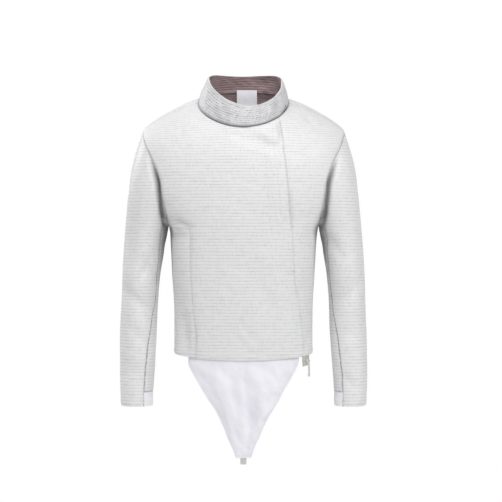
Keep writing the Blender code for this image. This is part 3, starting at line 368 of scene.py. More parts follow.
# Crotch panel and its strap
Crotch = namedtuple("Crotch", "z half_width depth")
CROTCH = rows_of(
    Crotch,
    (-0.546, 0.1275, 0.1145),
    (-0.576, 0.1245, 0.1127),
    (-0.603, 0.1110, 0.1115),
    (-0.632, 0.0945, 0.1090),
    (-0.659, 0.0785, 0.1045),
    (-0.686, 0.0620, 0.0985),
    (-0.713, 0.0485, 0.0905),
    (-0.740, 0.0370, 0.0805),
    (-0.767, 0.0250, 0.0690),
    (-0.792, 0.0165, 0.0570),
)
CROTCH_HELD_Z = -0.572
CROTCH_FREE_Z = -0.612
CROTCH_STEPS = 72
CROTCH_WAVES = 1.5
CROTCH_WAVE_DEPTH = 0.0045
CROTCH_FOLDS = rows_of(
    SmallFold,
    (-1, -0.050, -0.600, -0.004, -0.750, 0.013, 0.0075),
    (-1, -0.086, -0.602, -0.030, -0.735, 0.014, -0.0070),
    (-1, 0.026, -0.598, 0.040, -0.680, 0.014, 0.0070),
    (-1, -0.004, -0.592, 0.022, -0.720, 0.010, -0.0055),
    (-1, 0.086, -0.636, 0.052, -0.664, 0.007, -0.0042),
    (-1, 0.074, -0.662, 0.040, -0.698, 0.007, 0.0038),
    (-1, 0.052, -0.690, 0.030, -0.716, 0.006, -0.0032),
    (-1, -0.014, -0.740, 0.014, -0.778, 0.005, -0.0026),
    (-1, -0.048, -0.584, -0.044, -0.616, 0.006, -0.0030),
    (-1, 0.010, -0.584, 0.000, -0.606, 0.005, -0.0026),
    (-1, 0.060, -0.584, 0.068, -0.612, 0.006, -0.0034),
    (-1, 0.104, -0.584, 0.088, -0.616, 0.007, -0.0040),
    (-1, -0.104, -0.584, -0.090, -0.622, 0.007, -0.0030),
)
HEM_INNER_HALF_WIDTH = 0.1519
HEM_SQUARENESS = 2.5
STRAP_WIDTH = 0.0135
StrapPoint = namedtuple("StrapPoint", "y z")
STRAP = rows_of(
    StrapPoint,
    (-0.0440, -0.8040),
    (-0.0240, -0.8092),
    (0.0100, -0.8040),
    (0.0480, -0.7780),
    (0.0760, -0.7330),
    (0.0920, -0.6750),
    (0.0995, -0.6150),
)

# The strap's ends: behind the panel's tip, and up inside the back hem
STRAP_LAP_Z = (-0.770, -0.780, -0.789)
STRAP_BEHIND_PANEL = 0.0032
STRAP_BACK_ROWS = (3.05, 3.00, 2.95, 2.90)
STRAP_BEHIND_BACK = WALL + 0.0005 + STRAP_WALL / 2
STRAP_STEPS = 120
STRAP_STRIPS = 6

# Rolled edges of the cloth, and how near two pieces' edges lie to be sewn together
ROLL_DEPTH = 0.0009
ROLL_WIDTH = 0.0020
SEAM_REACH = 0.0012
SEAM_FAR = 0.1
SHARP_DEGREES = 50


class Curve:
    """A smooth curve through a table's points that never overshoots them."""

    def __init__(self, places, values):
        self.x = np.array(places, float)
        self.y = np.array(values, float)
        rise = np.diff(self.y) / np.diff(self.x)
        before, after = rise[:-1], rise[1:]
        same_way = before * after > 0
        total = np.where(same_way, before + after, 1)
        middle = np.where(same_way, 2 * before * after / total, 0)
        self.slope = np.array([rise[0], *middle, rise[-1]])

    def __call__(self, x):
        x = np.clip(x, self.x[0], self.x[-1])
        i = np.clip(np.searchsorted(self.x, x) - 1, 0, len(self.x) - 2)
        h = self.x[i + 1] - self.x[i]
        t = (x - self.x[i]) / h
        start = (1 + 2 * t) * (1 - t) ** 2 * self.y[i] + t * (1 - t) ** 2 * h * self.slope[i]
        end = t * t * (3 - 2 * t) * self.y[i + 1] - t * t * (1 - t) * h * self.slope[i + 1]
        return start + end


def curves(table):
    """A Curve for each column of a table, over its first column."""
    first, *others = table[0]._fields
    places = [getattr(row, first) for row in table]
    return {name: Curve(places, [getattr(row, name) for row in table]) for name in others}


def eased(value, low, high):
    """0 below low, 1 above high, and smooth between."""
    t = np.clip((value - low) / (high - low), 0, 1)
    return t * t * (3 - 2 * t)


def unit(vectors):
    return vectors / np.linalg.norm(vectors, axis=-1, keepdims=True)


def finer(stops, step=ROW_STEP_MOST):
    """The stops, with enough others between them for no step to be longer than this."""
    made = [stops[0]]
    for low, high in zip(stops, stops[1:]):
        made += list(np.linspace(low, high, math.ceil((high - low) / step) + 1)[1:])
    return np.array(made)


TORSO_CURVES = curves(TORSO)
SLEEVE_CURVES = curves(tuple(reversed(SLEEVE)))
CROTCH_CURVES = curves(tuple(reversed(CROTCH)))
CLOSURE_X = curves(CLOSURE)["x"]
PANEL_SEAM_X = curves(PANEL_SEAM)["x"]
COLLAR_SEAM_LEFT_X = curves(COLLAR_SEAM_LEFT)["x"]


def ring_point(ring, turn, z_turn=0):
    """Points of rounded-square rings; turn is 0 at the centre front and 90 at the left side."""
    c, s = np.cos(np.radians(turn)), np.sin(np.radians(turn))
    power = ring.squareness
    swell = (abs(c) ** power + abs(s) ** power) ** (-1 / power)
    depth = np.where(c > 0, ring.front, ring.back)
    angle = np.radians(turn - z_turn)
    middle = (ring.front_z + ring.back_z + 2 * ring.side_z) / 4
    tilt = (ring.back_z - ring.front_z) / 2
    saddle = (ring.front_z + ring.back_z - 2 * ring.side_z) / 4
    z = middle - tilt * np.cos(angle) + saddle * np.cos(2 * angle)
    return np.stack([ring.half_width * s * swell, -depth * c * swell, z], axis=-1)


def torso_ring(row):
    return Ring(row, *(TORSO_CURVES[name](row) for name in Ring._fields[1:]))


def fold_reach(fold, place, scale=(1, 1)):
    """How far a fold moves places of a surface out, falling smoothly beside it and past its ends.

    Places are in the fold's own two measures, and scale turns these into metres. The last six
    columns of every table of folds are its two ends, its width and its depth.
    """
    end_a, end_b = np.reshape(fold[-6:-2], (2, 2)) * scale
    along = end_b - end_a
    away = place * scale - end_a
    t = np.clip(away @ along / (along @ along), 0, 1)
    away = np.linalg.norm(away - t[..., None] * along, axis=-1)
    depth = FOLD_LEAST + (1 - FOLD_LEAST) * np.sin(np.pi * t)
    return fold.depth * (np.exp(-((away / fold.width) ** 2)) * depth)


def body_fold(turn, row):
    """How far the folds move the body's surface out."""
    total = 0
    for fold in BODY_FOLDS:
        near = fold.turn_a + (turn - fold.turn_a + 180) % 360 - 180
        place = np.stack(np.broadcast_arrays(near, row), axis=-1)
        total = total + fold_reach(fold, place, (METRES_PER_DEGREE, METRES_PER_ROW))
    return total


def torso_point(turn, row):
    """Points of the body's outer surface, folds included."""
    point = ring_point(torso_ring(row), turn)
    return point + unit(point * (1, 1, 0)) * body_fold(turn, row)[..., None]


def torso_normal(turn, row):
    d_turn = torso_point(turn + TURN_STEP, row) - torso_point(turn - TURN_STEP, row)
    d_row = torso_point(turn, row + ROW_STEP) - torso_point(turn, np.maximum(row - ROW_STEP, 0))
    return unit(np.cross(d_row, d_turn))


def turn_at(row, x):
    """The turn at which the front of a ring has this x."""
    ring = torso_ring(row)
    low, high = (np.full(np.shape(row), float(side)) for side in (RIGHT_SIDE, LEFT_SIDE))
    for _ in range(HALVINGS):
        middle = (low + high) / 2
        short = ring_point(ring, middle)[..., 0] < x
        low, high = np.where(short, middle, low), np.where(short, high, middle)
    return (low + high) / 2


def shifted(turn, row, distance):
    """The turn that lies a distance round the ring from another turn."""
    ring = torso_ring(row)
    for _ in range(SHIFT_STEPS):
        span = ring_point(ring, turn + TURN_STEP) - ring_point(ring, turn - TURN_STEP)
        turn = turn + distance / SHIFT_STEPS / np.linalg.norm(span, axis=-1) * 2 * TURN_STEP
    return turn


def armhole(row, reach):
    """Half the armhole's angle at a row, 0 at the shoulder tip and at the armpit."""
    share = np.clip(row - TIP, 0, 1)
    lean = 1 + ARMHOLE_LEAN * (1 - share) ** 2 * (reach == ARMHOLE_FRONT)
    return reach * lean * 2 * np.sqrt(share * (1 - share))


def closure_turn(row):
    return turn_at(row, CLOSURE_X(row))


def flap_corner_cut(row):
    """How far the rounding of the flap's lower corner draws its free edge back."""
    short = np.clip(FLAP_CORNER - (HEM_ROW - row) * METRES_PER_ROW, 0, FLAP_CORNER)
    return FLAP_CORNER - np.sqrt(FLAP_CORNER**2 - short**2)


def front_lines(row):
    closure = closure_turn(row)
    flap = FLAP_LAP - flap_corner_cut(row)
    middle = flap * (1 + TAPE_EDGE_FRONT / FLAP_LAP)
    return (
        RIGHT_SIDE + armhole(row, ARMHOLE_FRONT),
        turn_at(row, PANEL_SEAM_X(row)),
        turn_at(row, COLLAR_SEAM_RIGHT_X),
        turn_at(row, COLLAR_SEAM_LEFT_X(row)),
        shifted(closure, row, -FLAP_LAP - FLAP_RAMP),
        shifted(closure, row, -FLAP_LAP),
        shifted(closure, row, -FLAP_LAP + middle),
        shifted(closure, row, -FLAP_LAP + flap),
    )


def under_lines(row):
    closure = closure_turn(row)
    free = eased(row, FLAP_FREE_FROM, FLAP_FULL_FROM)
    return (
        shifted(closure, row, -FLAP_LAP * free),
        shifted(closure, row, TAPE_EDGE_AT_NECK * (1 - free) + TAPE_EDGE_FRONT * free),
        shifted(closure, row, TAPE_MIDDLE),
        shifted(closure, row, TAPE_EDGE_BACK),
        LEFT_SIDE - armhole(row, ARMHOLE_FRONT),
    )


def back_lines(row):
    still = np.zeros(np.shape(row))
    return (
        LEFT_SIDE + armhole(row, ARMHOLE_BACK),
        BACK_SEAM + still,
        CENTRE_BACK + still,
        360 - BACK_SEAM + still,
        360 + RIGHT_SIDE - armhole(row, ARMHOLE_BACK),
    )


def label_lines(row):
    middle = np.full(np.shape(row), float(CENTRE_BACK))
    return [shifted(middle, row, side * LABEL_WIDTH / 2 - LABEL_X) for side in (-1, 1)]


def divided(lines, strips):
    """Turns on the lines, and evenly between them, for each row."""
    stops = np.cumsum([0, *strips])
    columns = [strip + split for strip in range(stops[-1]) for split in SPLITS] + [stops[-1]]
    return np.array([np.interp(columns, stops, line) for line in np.transpose(lines)])


def armhole_rows():
    """Rows from the shoulder tip to the armpit, closest at both ends."""
    return TIP + (1 - np.cos(np.pi * np.arange(ARMHOLE_STEPS + 1) / ARMHOLE_STEPS)) / 2


def all_rows():
    yoke = finer([*YOKE_ROWS, TIP])
    flank = finer([TIP + 1, *FLANK_ROWS, HEM_ROW])
    return np.concatenate([yoke[:-1], armhole_rows(), flank[1:]])


ROWS = all_rows()
TIP_INDEX = int(np.searchsorted(ROWS, TIP))
PIT_INDEX = TIP_INDEX + ARMHOLE_STEPS
PANEL_SEAM_INDEX = FRONT_STRIPS[0] * FINER
COLLAR_RIGHT_INDEX = sum(FRONT_STRIPS[:2]) * FINER
COLLAR_LEFT_INDEX = sum(FRONT_STRIPS[:3]) * FINER
LEFT_BACK_INDEX = BACK_STRIPS[0] * FINER
CENTRE_BACK_INDEX = sum(BACK_STRIPS[:2]) * FINER
RIGHT_BACK_INDEX = sum(BACK_STRIPS[:3]) * FINER


def ring_normals(points):
    """Normals of a lattice whose last column is next to its first one."""
    round_step = np.roll(points, -1, axis=1) - np.roll(points, 1, axis=1)
    return unit(np.cross(round_step, np.gradient(points, axis=0)))


def open_normals(points):
    """Normals of a lattice with open edges, for rows that run down and columns to the left side."""
    return unit(np.cross(np.gradient(points, axis=0), np.gradient(points, axis=1)))


def lengths(points, axis):
    """Lengths along a lattice's rows (axis 1) or columns (axis 0), from 0 at the first one."""
    steps = np.linalg.norm(np.diff(points, axis=axis), axis=-1)
    first = np.zeros_like(steps.take([0], axis=axis))
    return np.concatenate([first, np.cumsum(steps, axis=axis)], axis=axis)


class Lattice:
    """Points of a surface in rows and columns, with normals, the way in and cloth places.

    The wall's outer face may stand out from the points by raised, as a turned hem does. A cloth
    place is in metres: across the weave, and up it from the hem.
    """

    def __init__(self, points, normals, inward=None, raised=None, cloth=None):
        self.points = np.array(points, float)
        self.normals = np.array(normals, float)
        self.inward = -self.normals if inward is None else np.array(inward, float)
        self.raised = np.zeros(self.points.shape[:2]) if raised is None else np.array(raised)
        if cloth is None:
            down = lengths(self.points, 0)
            cloth = np.stack([lengths(self.points, 1), down.max() - down], axis=-1)
        self.cloth = np.array(cloth)

    def fields(self):
        return self.points, self.normals, self.inward, self.raised, self.cloth

    def part(self, rows, columns):
        return Lattice(*(field[rows, columns] for field in self.fields()))

    def columns(self, first, last):
        """The lattice from one column to another, both included."""
        return self.part(slice(None), slice(first, last + 1))

    def wrapped(self, first, last):
        """The columns of a closed ring from one on, past its end, to another."""
        return self.columns(first, self.points.shape[1] - 1).beside(self.columns(0, last))

    def beside(self, other):
        """This lattice with another to its right, whose first column is this one's last."""
        moved = Lattice(*other.fields())
        moved.cloth[..., 0] += self.cloth[:, -1:, 0] - other.cloth[:, :1, 0]
        pairs = zip(self.fields(), moved.fields())
        return Lattice(*(np.concatenate([a, b[:, 1:]], axis=1) for a, b in pairs))

    def closed(self):
        """The lattice of a ring, with its first column again at the end."""
        shape = self.points, self.normals, self.inward, self.raised
        return Lattice(*(np.concatenate([field, field[:, :1]], axis=1) for field in shape))

    def moved_in(self, distance):
        points = self.points + self.inward * distance
        return Lattice(points, self.normals, self.inward, None, self.cloth)

    def moved_out(self, distance):
        """Moves each point along its normal by its own distance."""
        self.points += self.normals * distance[..., None]


def height_in_cloth(points):
    """How far up the flat cloth a point lies: by height, and along the slope of the shoulders."""
    chest = torso_ring(CHEST_ROW)
    x, y, z = np.moveaxis(points, -1, 0)
    flatness = np.maximum(1 - abs(x / chest.half_width) ** chest.squareness, 0)
    depth = np.where(y < 0, chest.front, chest.back) * flatness ** (1 / chest.squareness)
    rise = z - CHEST_Z
    drawn = np.maximum(depth - abs(y), 0) * eased(rise, 0, SLOPE_FULL_RISE)
    power = np.where(y < 0, SLOPE_POWER_FRONT, SLOPE_POWER_BACK)
    slope = (np.maximum(rise, 0) ** power + drawn**power) ** (1 / power)
    return np.where(rise > 0, slope, rise) + CHEST_Z - TORSO[-2].front_z


def body_cloth(points, middle):
    """Cloth places of the body: across the rows from a middle column, and up the cloth."""
    across = lengths(points, 1)
    return np.stack([across - across[:, middle : middle + 1], height_in_cloth(points)], axis=-1)


def torso_lattice(lines, strips, rows, middle=0):
    turns = divided(lines(rows), strips)
    down = np.array(rows)[:, None]
    points = torso_point(turns, down)
    lattice = Lattice(points, torso_normal(turns, down), None, None, body_cloth(points, middle))
    lattice.raised[rows > HEM_FOLD_ROW] = HEM_RAISE
    return lattice


def worn(lattice, folds, crumples, still=1):
    """How far small folds and the cloth's unevenness move a lattice out.

    The unevenness is the same at one place for every piece, times still.
    """
    points = lattice.points
    total = np.zeros(points.shape[:-1])
    for crumple in crumples:
        size = (crumple.across, crumple.across, crumple.up)
        places = (points / size).reshape(-1, 3).tolist()
        values = np.array([noise.noise(Vector(place)) for place in places])
        total += crumple.height * values.reshape(total.shape) * still
    for fold in folds:
        facing = eased(lattice.normals[..., 1] * fold.face, *FOLD_FACING)
        total += facing * fold_reach(fold, points[..., [0, 2]])
    return total


def armhole_crease(lattice, rows, column, depth):
    """How far a body lattice turns in along the armhole at one of its side columns."""
    share = np.clip(rows - TIP, 0, 1)
    along = eased(share, *CREASE_START) * (1 - eased(share, *CREASE_END))
    away = lengths(lattice.points, 1)
    away = abs(away - away[:, column][:, None])
    return -depth * along[:, None] * np.exp(-((away / CREASE_WIDTH) ** 2))


def wear(lattice, rows, creases):
    """Gives a body lattice its small folds, its unevenness and its creases at the armholes."""
    moved = worn(lattice, SMALL_FOLDS, CRUMPLES, eased(rows, *NECK_STILL)[:, None])
    lattice.moved_out(moved + sum(armhole_crease(lattice, rows, *crease) for crease in creases))


def mitre(normal_a, normal_b):
    """The way in at a seam where two walls meet at an angle."""
    middle = unit(normal_a + normal_b)
    along = np.sum(middle * normal_a, axis=-1, keepdims=True)
    return -middle / np.maximum(along, 1 / MITRE_MOST)


def join_at_seam(places):
    """Mitres the points of several lattices at one place, unless the walls part in a deep notch."""
    normals = [lattice.normals[row, column] for lattice, row, column in places]
    way = mitre(normals[0], normals[-1])
    share = eased(np.dot(normals[0], normals[-1]), NOTCH_DEEP, NOTCH_SHALLOW)
    for (lattice, row, column), normal in zip(places, normals):
        lattice.inward[row, column] = way * share - normal * (1 - share)


def cap_start(share):
    """The way a sleeve leaves the armhole, at a share of the drop from its tip to the armpit."""
    bend = 2 * np.sqrt(np.maximum(share * (1 - share), 0))
    return unit(np.array(CAP_START) + np.array(CAP_SPREAD) * bend[:, None])


def arm_turns(z):
    """Where the sleeve's columns lie round the arm, from its outer side over the front."""
    seams = SLEEVE_CURVES["front_seam"](z), SLEEVE_CURVES["back_seam"](z)
    known = (0, SEAM_STEP_FRONT, SEAM_STEP_BACK, 2 * ARMHOLE_STEPS)
    return np.interp(range(2 * ARMHOLE_STEPS), known, (0, *seams, 360))


def arm_fold(side, turn, z):
    place = np.stack(np.broadcast_arrays(turn, z), axis=-1)
    folds = [fold for fold in ARM_FOLDS if fold.side == side]
    return sum(fold_reach(fold, place, (ARM_METRES_PER_DEGREE, 1)) for fold in folds)


def arm_point(side, turn, z):
    """Points of the wearer's left sleeve below its cap, with one side's folds."""
    level = z * np.ones_like(turn)
    out = np.stack([np.cos(np.radians(turn)), -np.sin(np.radians(turn)), 0 * level], axis=-1)
    ring = {name: curve(level) for name, curve in SLEEVE_CURVES.items()}
    centre = np.stack([ring["x"], ring["y"], level], axis=-1)
    size = np.stack([ring["half_width"], ring["half_depth"], 0 * level], axis=-1)
    return centre + out * size + out * arm_fold(side, turn, level)[..., None]


def cap_point(start, end, way, t):
    """Points of the curves from the armhole to the first full ring of the sleeve."""
    length = np.linalg.norm(end - start, axis=-1, keepdims=True)
    leave, arrive = way * length, unit(np.array(CAP_END)) * length
    near_start = (1 + 2 * t) * (1 - t) ** 2 * start + t * (1 - t) ** 2 * leave
    return near_start + t * t * (3 - 2 * t) * end - t * t * (1 - t) * arrive


def sleeve_crease(points):
    """How far a sleeve turns in just below the armhole, most at its front."""
    away = lengths(points, 0) / SLEEVE_CREASE_WIDTH
    share = (1 - np.cos(np.pi * np.arange(2 * ARMHOLE_STEPS) / ARMHOLE_STEPS)) / 2
    is_front = np.arange(2 * ARMHOLE_STEPS) <= ARMHOLE_STEPS
    depth = np.where(is_front, SLEEVE_CREASE_FRONT, SLEEVE_CREASE_BACK)
    end = 1 - SLEEVE_CREASE_ENDING * eased(share, *SLEEVE_CREASE_END)
    along = eased(share, *SLEEVE_CREASE_START) * end
    return -depth * along * away * np.exp(1 - away)


def sleeve_lattice(side, front, front_column, back, back_column):
    """A whole sleeve, from the armhole's own points to the cuff."""
    mirror = np.array([side, 1, 1])
    last = 2 * ARMHOLE_STEPS
    seams = []
    for i in range(last):
        at_front = (front, TIP_INDEX + i, front_column)
        at_back = (back, TIP_INDEX + (last - i) % last, back_column)
        seams.append([place for place in (at_front, at_back) if place[1] <= PIT_INDEX])
    start = np.array([lattice.points[row, column] for (lattice, row, column), *_ in seams]) * mirror
    way = cap_start((1 - np.cos(np.pi * np.arange(last) / ARMHOLE_STEPS)) / 2)
    top_z = SLEEVE[0].z
    end = arm_point(side, arm_turns(top_z), top_z)
    shares = [*CAP_SHARES, *np.linspace(CAP_SHARES[-1], 1, CAP_STEPS)[1:]]
    rows = [cap_point(start, end, way, share) for share in shares]
    count = round((top_z - ARM_END_Z) / ARM_ROW_STEP)
    below = [*np.linspace(top_z, ARM_END_Z, count + 1)[1:], *CUFF_ROWS]
    rows += [arm_point(side, arm_turns(z), z) for z in below]
    points = np.array(rows)
    sleeve = Lattice(points * mirror, ring_normals(points) * mirror)
    still = eased(lengths(points, 0), 0, SLEEVE_STILL)
    sleeve.moved_out(worn(sleeve, SLEEVE_FOLDS, CRUMPLES) * still + sleeve_crease(points))
    sleeve.normals = ring_normals(sleeve.points * mirror) * mirror
    sleeve.inward = -sleeve.normals
    sleeve.raised[-len(CUFF_ROWS) :] = [[CUFF_RAISE * (z < CUFF_FOLD_Z)] for z in CUFF_ROWS]
    for i, places in enumerate(seams):
        join_at_seam([*places, (sleeve, 0, i)])
    sleeve = sleeve.closed()
    sleeve.cloth[..., 1] = sleeve.points[..., 2] - CUFF_ROWS[-1]
    return sleeve


def collar_point(turn, t):
    base, rim = ring_point(TORSO[0], turn), ring_point(RIM, turn, RIM_TURN)
    rim[..., 0] += RIM_SHIFT
    out = unit(base * (1, 1, 0))
    return base + (rim - base) * t + out * COLLAR_BULGE * 4 * t * (1 - t)


def collar_lattice(turns, shares):
    """The collar's rings, lifted off the body in one place and crumpled above its foot."""
    points = np.array([collar_point(turns, t) for t in shares])
    lattice = Lattice(points, ring_normals(points))
    lift = COLLAR_LIFT * np.exp(-(((turns - COLLAR_LIFT_TURN) / COLLAR_LIFT_SPREAD) ** 2))
    low = np.clip(1 - np.array(shares) / COLLAR_FOOT, 0, 1)
    up = unit(points[-1] - points[0])
    lattice.points += up[None] * (low[:, None] * lift[None])[..., None]
    still = eased(shares, *COLLAR_STILL)[:, None]
    lattice.moved_out(worn(lattice, COLLAR_FOLDS, COLLAR_CRUMPLES) * still)
    return lattice


def crotch_point(across, z):
    """Points of the crotch panel, held inside the hem at its top; across runs from -1 to 1."""
    half_width, depth = CROTCH_CURVES["half_width"](z), CROTCH_CURVES["depth"](z)
    x = across * half_width
    flatness = (1 - abs(x / HEM_INNER_HALF_WIDTH) ** HEM_SQUARENESS) ** (1 / HEM_SQUARENESS)
    share = (CROTCH[0].z - z) / (CROTCH[0].z - CROTCH[-1].z)
    wave = np.sin(np.pi * share) ** 2 * np.cos(2 * np.pi * CROTCH_WAVES * across)
    loose = np.stack([x, -depth * flatness - CROTCH_WAVE_DEPTH * wave, z + 0 * x], axis=-1)
    held = eased(z, CROTCH_FREE_Z, CROTCH_HELD_Z)[..., None]
    row = np.minimum(HEM_ROW + (CROTCH_HELD_Z - z) / METRES_PER_ROW, TAPE_END_ROWS[-1]) + 0 * x
    turn = turn_at(row, x)
    inside = torso_point(turn, row) - torso_normal(turn, row) * (WALL + LOOSE_LAYER)
    inside[..., 2] = z
    return loose * (1 - held) + inside * held


def crotch_lattice():
    heights = np.linspace(CROTCH[0].z, CROTCH[-1].z, CROTCH_STEPS + 1)[:, None]
    places = np.linspace(-1, 1, CROTCH_STEPS + 1)[None, :]
    points = crotch_point(places, heights)
    return Lattice(points, open_normals(points))


def strap_lattice():
    """The strap: behind the panel's tip, under, and up inside the back hem."""
    front = [StrapPoint(STRAP_BEHIND_PANEL - CROTCH_CURVES["depth"](z), z) for z in STRAP_LAP_Z]
    rows = np.array(STRAP_BACK_ROWS)
    out = torso_normal(CENTRE_BACK, rows)
    inner = torso_point(CENTRE_BACK, rows) - out * STRAP_BEHIND_BACK
    line = [*front, *STRAP, *(StrapPoint(y, z) for _, y, z in inner)]
    places = np.cumsum([0, *(math.dist(a, b) for a, b in zip(line, line[1:]))])
    stops = np.linspace(0, places[-1], STRAP_STEPS + 1)
    y, z = (Curve(places, [getattr(point, name) for point in line])(stops) for name in ("y", "z"))
    sides = np.linspace(-STRAP_WIDTH / 2, STRAP_WIDTH / 2, STRAP_STRIPS + 1)
    points = np.stack(np.broadcast_arrays(sides[None, :], y[:, None], z[:, None]), axis=-1)
    return Lattice(points, open_normals(points)).moved_in(-STRAP_WALL / 2)


def cells_of(lattice, keep=lambda row, column: True):
    """The lattice's cells, each named by its first corner."""
    rows, columns = lattice.points.shape[:2]
    return [(r, c) for r in range(rows - 1) for c in range(columns - 1) if keep(r, c)]


def corners_of(cell):
    row, column = cell
    return (row, column), (row + 1, column), (row + 1, column + 1), (row, column + 1)


def rim_edges(cells):
    """The edges that belong to one cell only."""
    owners = {}
    for cell in cells:
        corners = corners_of(cell)
        for edge in zip(corners, corners[1:] + corners[:1]):
            owners.setdefault(frozenset(edge), []).append(edge)
    return [owned[0] for owned in owners.values() if len(owned) == 1]


# A cloth piece to be made: its lattice, its wall, its finish, and the solid that it stands for
Cut = namedtuple("Cut", "node lattice wall finish slot cells edges")
CUTS = []
RIM_SHARES = (0, 1 / 6, 1 / 3, 1 / 2, 2 / 3, 5 / 6, 1)


def cut(node, lattice, wall, finish, slot, keep=lambda row, column: True):
    """Lays out a cloth piece over the lattice's cells that it keeps."""
    cells = cells_of(lattice, keep)
    CUTS.append(Cut(node, lattice, wall, finish, slot, cells, rim_edges(cells)))


def tree_of(points):
    tree = kdtree.KDTree(len(points))
    for i, point in enumerate(points):
        tree.insert(point, i)
    tree.balance()
    return tree


def rim_points(piece):
    shares = np.array(RIM_SHARES)[:, None]
    points = piece.lattice.points
    return np.concatenate([points[a] * (1 - shares) + points[b] * shares for a, b in piece.edges])


def seam_points(rims, own):
    """The points of a piece's rim that another piece's rim runs along."""
    others = tree_of(np.concatenate([rim for i, rim in enumerate(rims) if i != own]))
    return [point for point in rims[own] if others.find(point)[2] < SEAM_REACH]


def distances(points, places):
    """How far each point is from the nearest of the places."""
    if not len(places):
        return np.full(len(points), SEAM_FAR)
    tree = tree_of(places)
    return np.array([tree.find(point)[2] for point in points])


def sew():
    """Makes every cloth piece that was laid out."""
    rims = [rim_points(piece) for piece in CUTS]
    for own, piece in enumerate(CUTS):
        make_cloth(piece, rims[own], seam_points(rims, own))


def mesh_of(name, points, faces):
    mesh = bpy.data.meshes.new(name)
    mesh.from_pydata(np.array(points).tolist(), [], faces)
    return mesh


def add_object(name, data):
    made = bpy.data.objects.new(name, data)
    bpy.context.scene.collection.objects.link(made)
    return made


def make_cloth(piece, rim, seam):
    """A closed cloth wall over a lattice's cells, its outer face rolled in at the edges."""
    name = f"cloth_{piece.node}"
    lattice, cells = piece.lattice, piece.cells
    places = sorted({corner for cell in cells for corner in corners_of(cell)})
    index = {at: i for i, at in enumerate(places)}
    rows, columns = (np.array([at[axis] for at in places]) for axis in (0, 1))
    points, inward = lattice.points[rows, columns], lattice.inward[rows, columns]
    edge, sewn = distances(points, rim), distances(points, seam)
    roll = ROLL_DEPTH * np.exp(-((edge / ROLL_WIDTH) ** 2)) * min(piece.wall / WALL, 1)
    outer = points - inward * (lattice.raised[rows, columns] - roll)[:, None]
    inner = points + inward * piece.wall
    count = len(places)
    faces = []
    for cell in cells:
        a, b, c, d = (index[at] for at in corners_of(cell))
        faces += [(a, b, c, d), (count + d, count + c, count + b, count + a)]
    for a, b in piece.edges:
        a, b = index[a], index[b]
        faces.append((b, a, count + a, count + b))
    a, b, c, _ = faces[0]
    if np.cross(outer[b] - outer[a], outer[c] - outer[b]) @ inward[a] > 0:
        faces = [tuple(reversed(face)) for face in faces]
    mesh = mesh_of(name, np.concatenate([outer, inner]), faces)
    add_cloth_places(mesh, np.tile(lattice.cloth[rows, columns], (2, 1)))
    add_distance(mesh, "edge", edge)
    add_distance(mesh, "sewn", sewn)
    made = add_piece(name, mesh, piece.finish)
    declare_sheet(lattice, cells)
    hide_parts(piece.node)


def add_piece(name, mesh, finish, body="garment"):
    """A new object that rides on a body, shaded smooth but for its sharp edges."""
    mesh.shade_smooth()
    mesh.set_sharp_from_angle(angle=math.radians(SHARP_DEGREES))
    mesh.materials.append(finish)
    made = add_object(name, mesh)
    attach(made, body)
    return made


def add_distance(mesh, name, values):
    """Stores a distance on both faces of a cloth wall."""
    layer = mesh.attributes.new(name, "FLOAT", "POINT")
    layer.data.foreach_set("value", np.tile(values, 2).astype(np.float32))


def add_cloth_places(mesh, cloth):
    """A UV map in metres."""
    corners = np.empty(len(mesh.loops), np.int32)
    mesh.loops.foreach_get("vertex_index", corners)
    layer = mesh.uv_layers.new(name="cloth")
    layer.data.foreach_set("uv", cloth[corners].astype(np.float32).ravel())


def declare_sheet(lattice, cells):
    """Works out a piece's area and its flat size, its widest row and its height along the cloth, and
    does nothing with them.
    """
    points = lattice.points
    area = 0
    for cell in cells:
        a, b, c, d = (points[at] for at in corners_of(cell))
        area += np.linalg.norm(np.cross(c - a, d - b)) / 2
    places = np.array([lattice.cloth[at] for cell in cells for at in corners_of(cell)])
    width, length = lengths(points, 1).max(), np.ptp(places[:, 1])
    area = min(area, width * length)


# Painted shade: how cloth is darkened in a crease or under another piece, full at the first
# openness, none at the last
SHADE_SAMPLES = 8
SHADE_OPENNESS = (0.25, 0.92)

# Sockets of a node that mixes two colours
MIX_COLOURS = (6, 7)
MIX_RESULT = 2


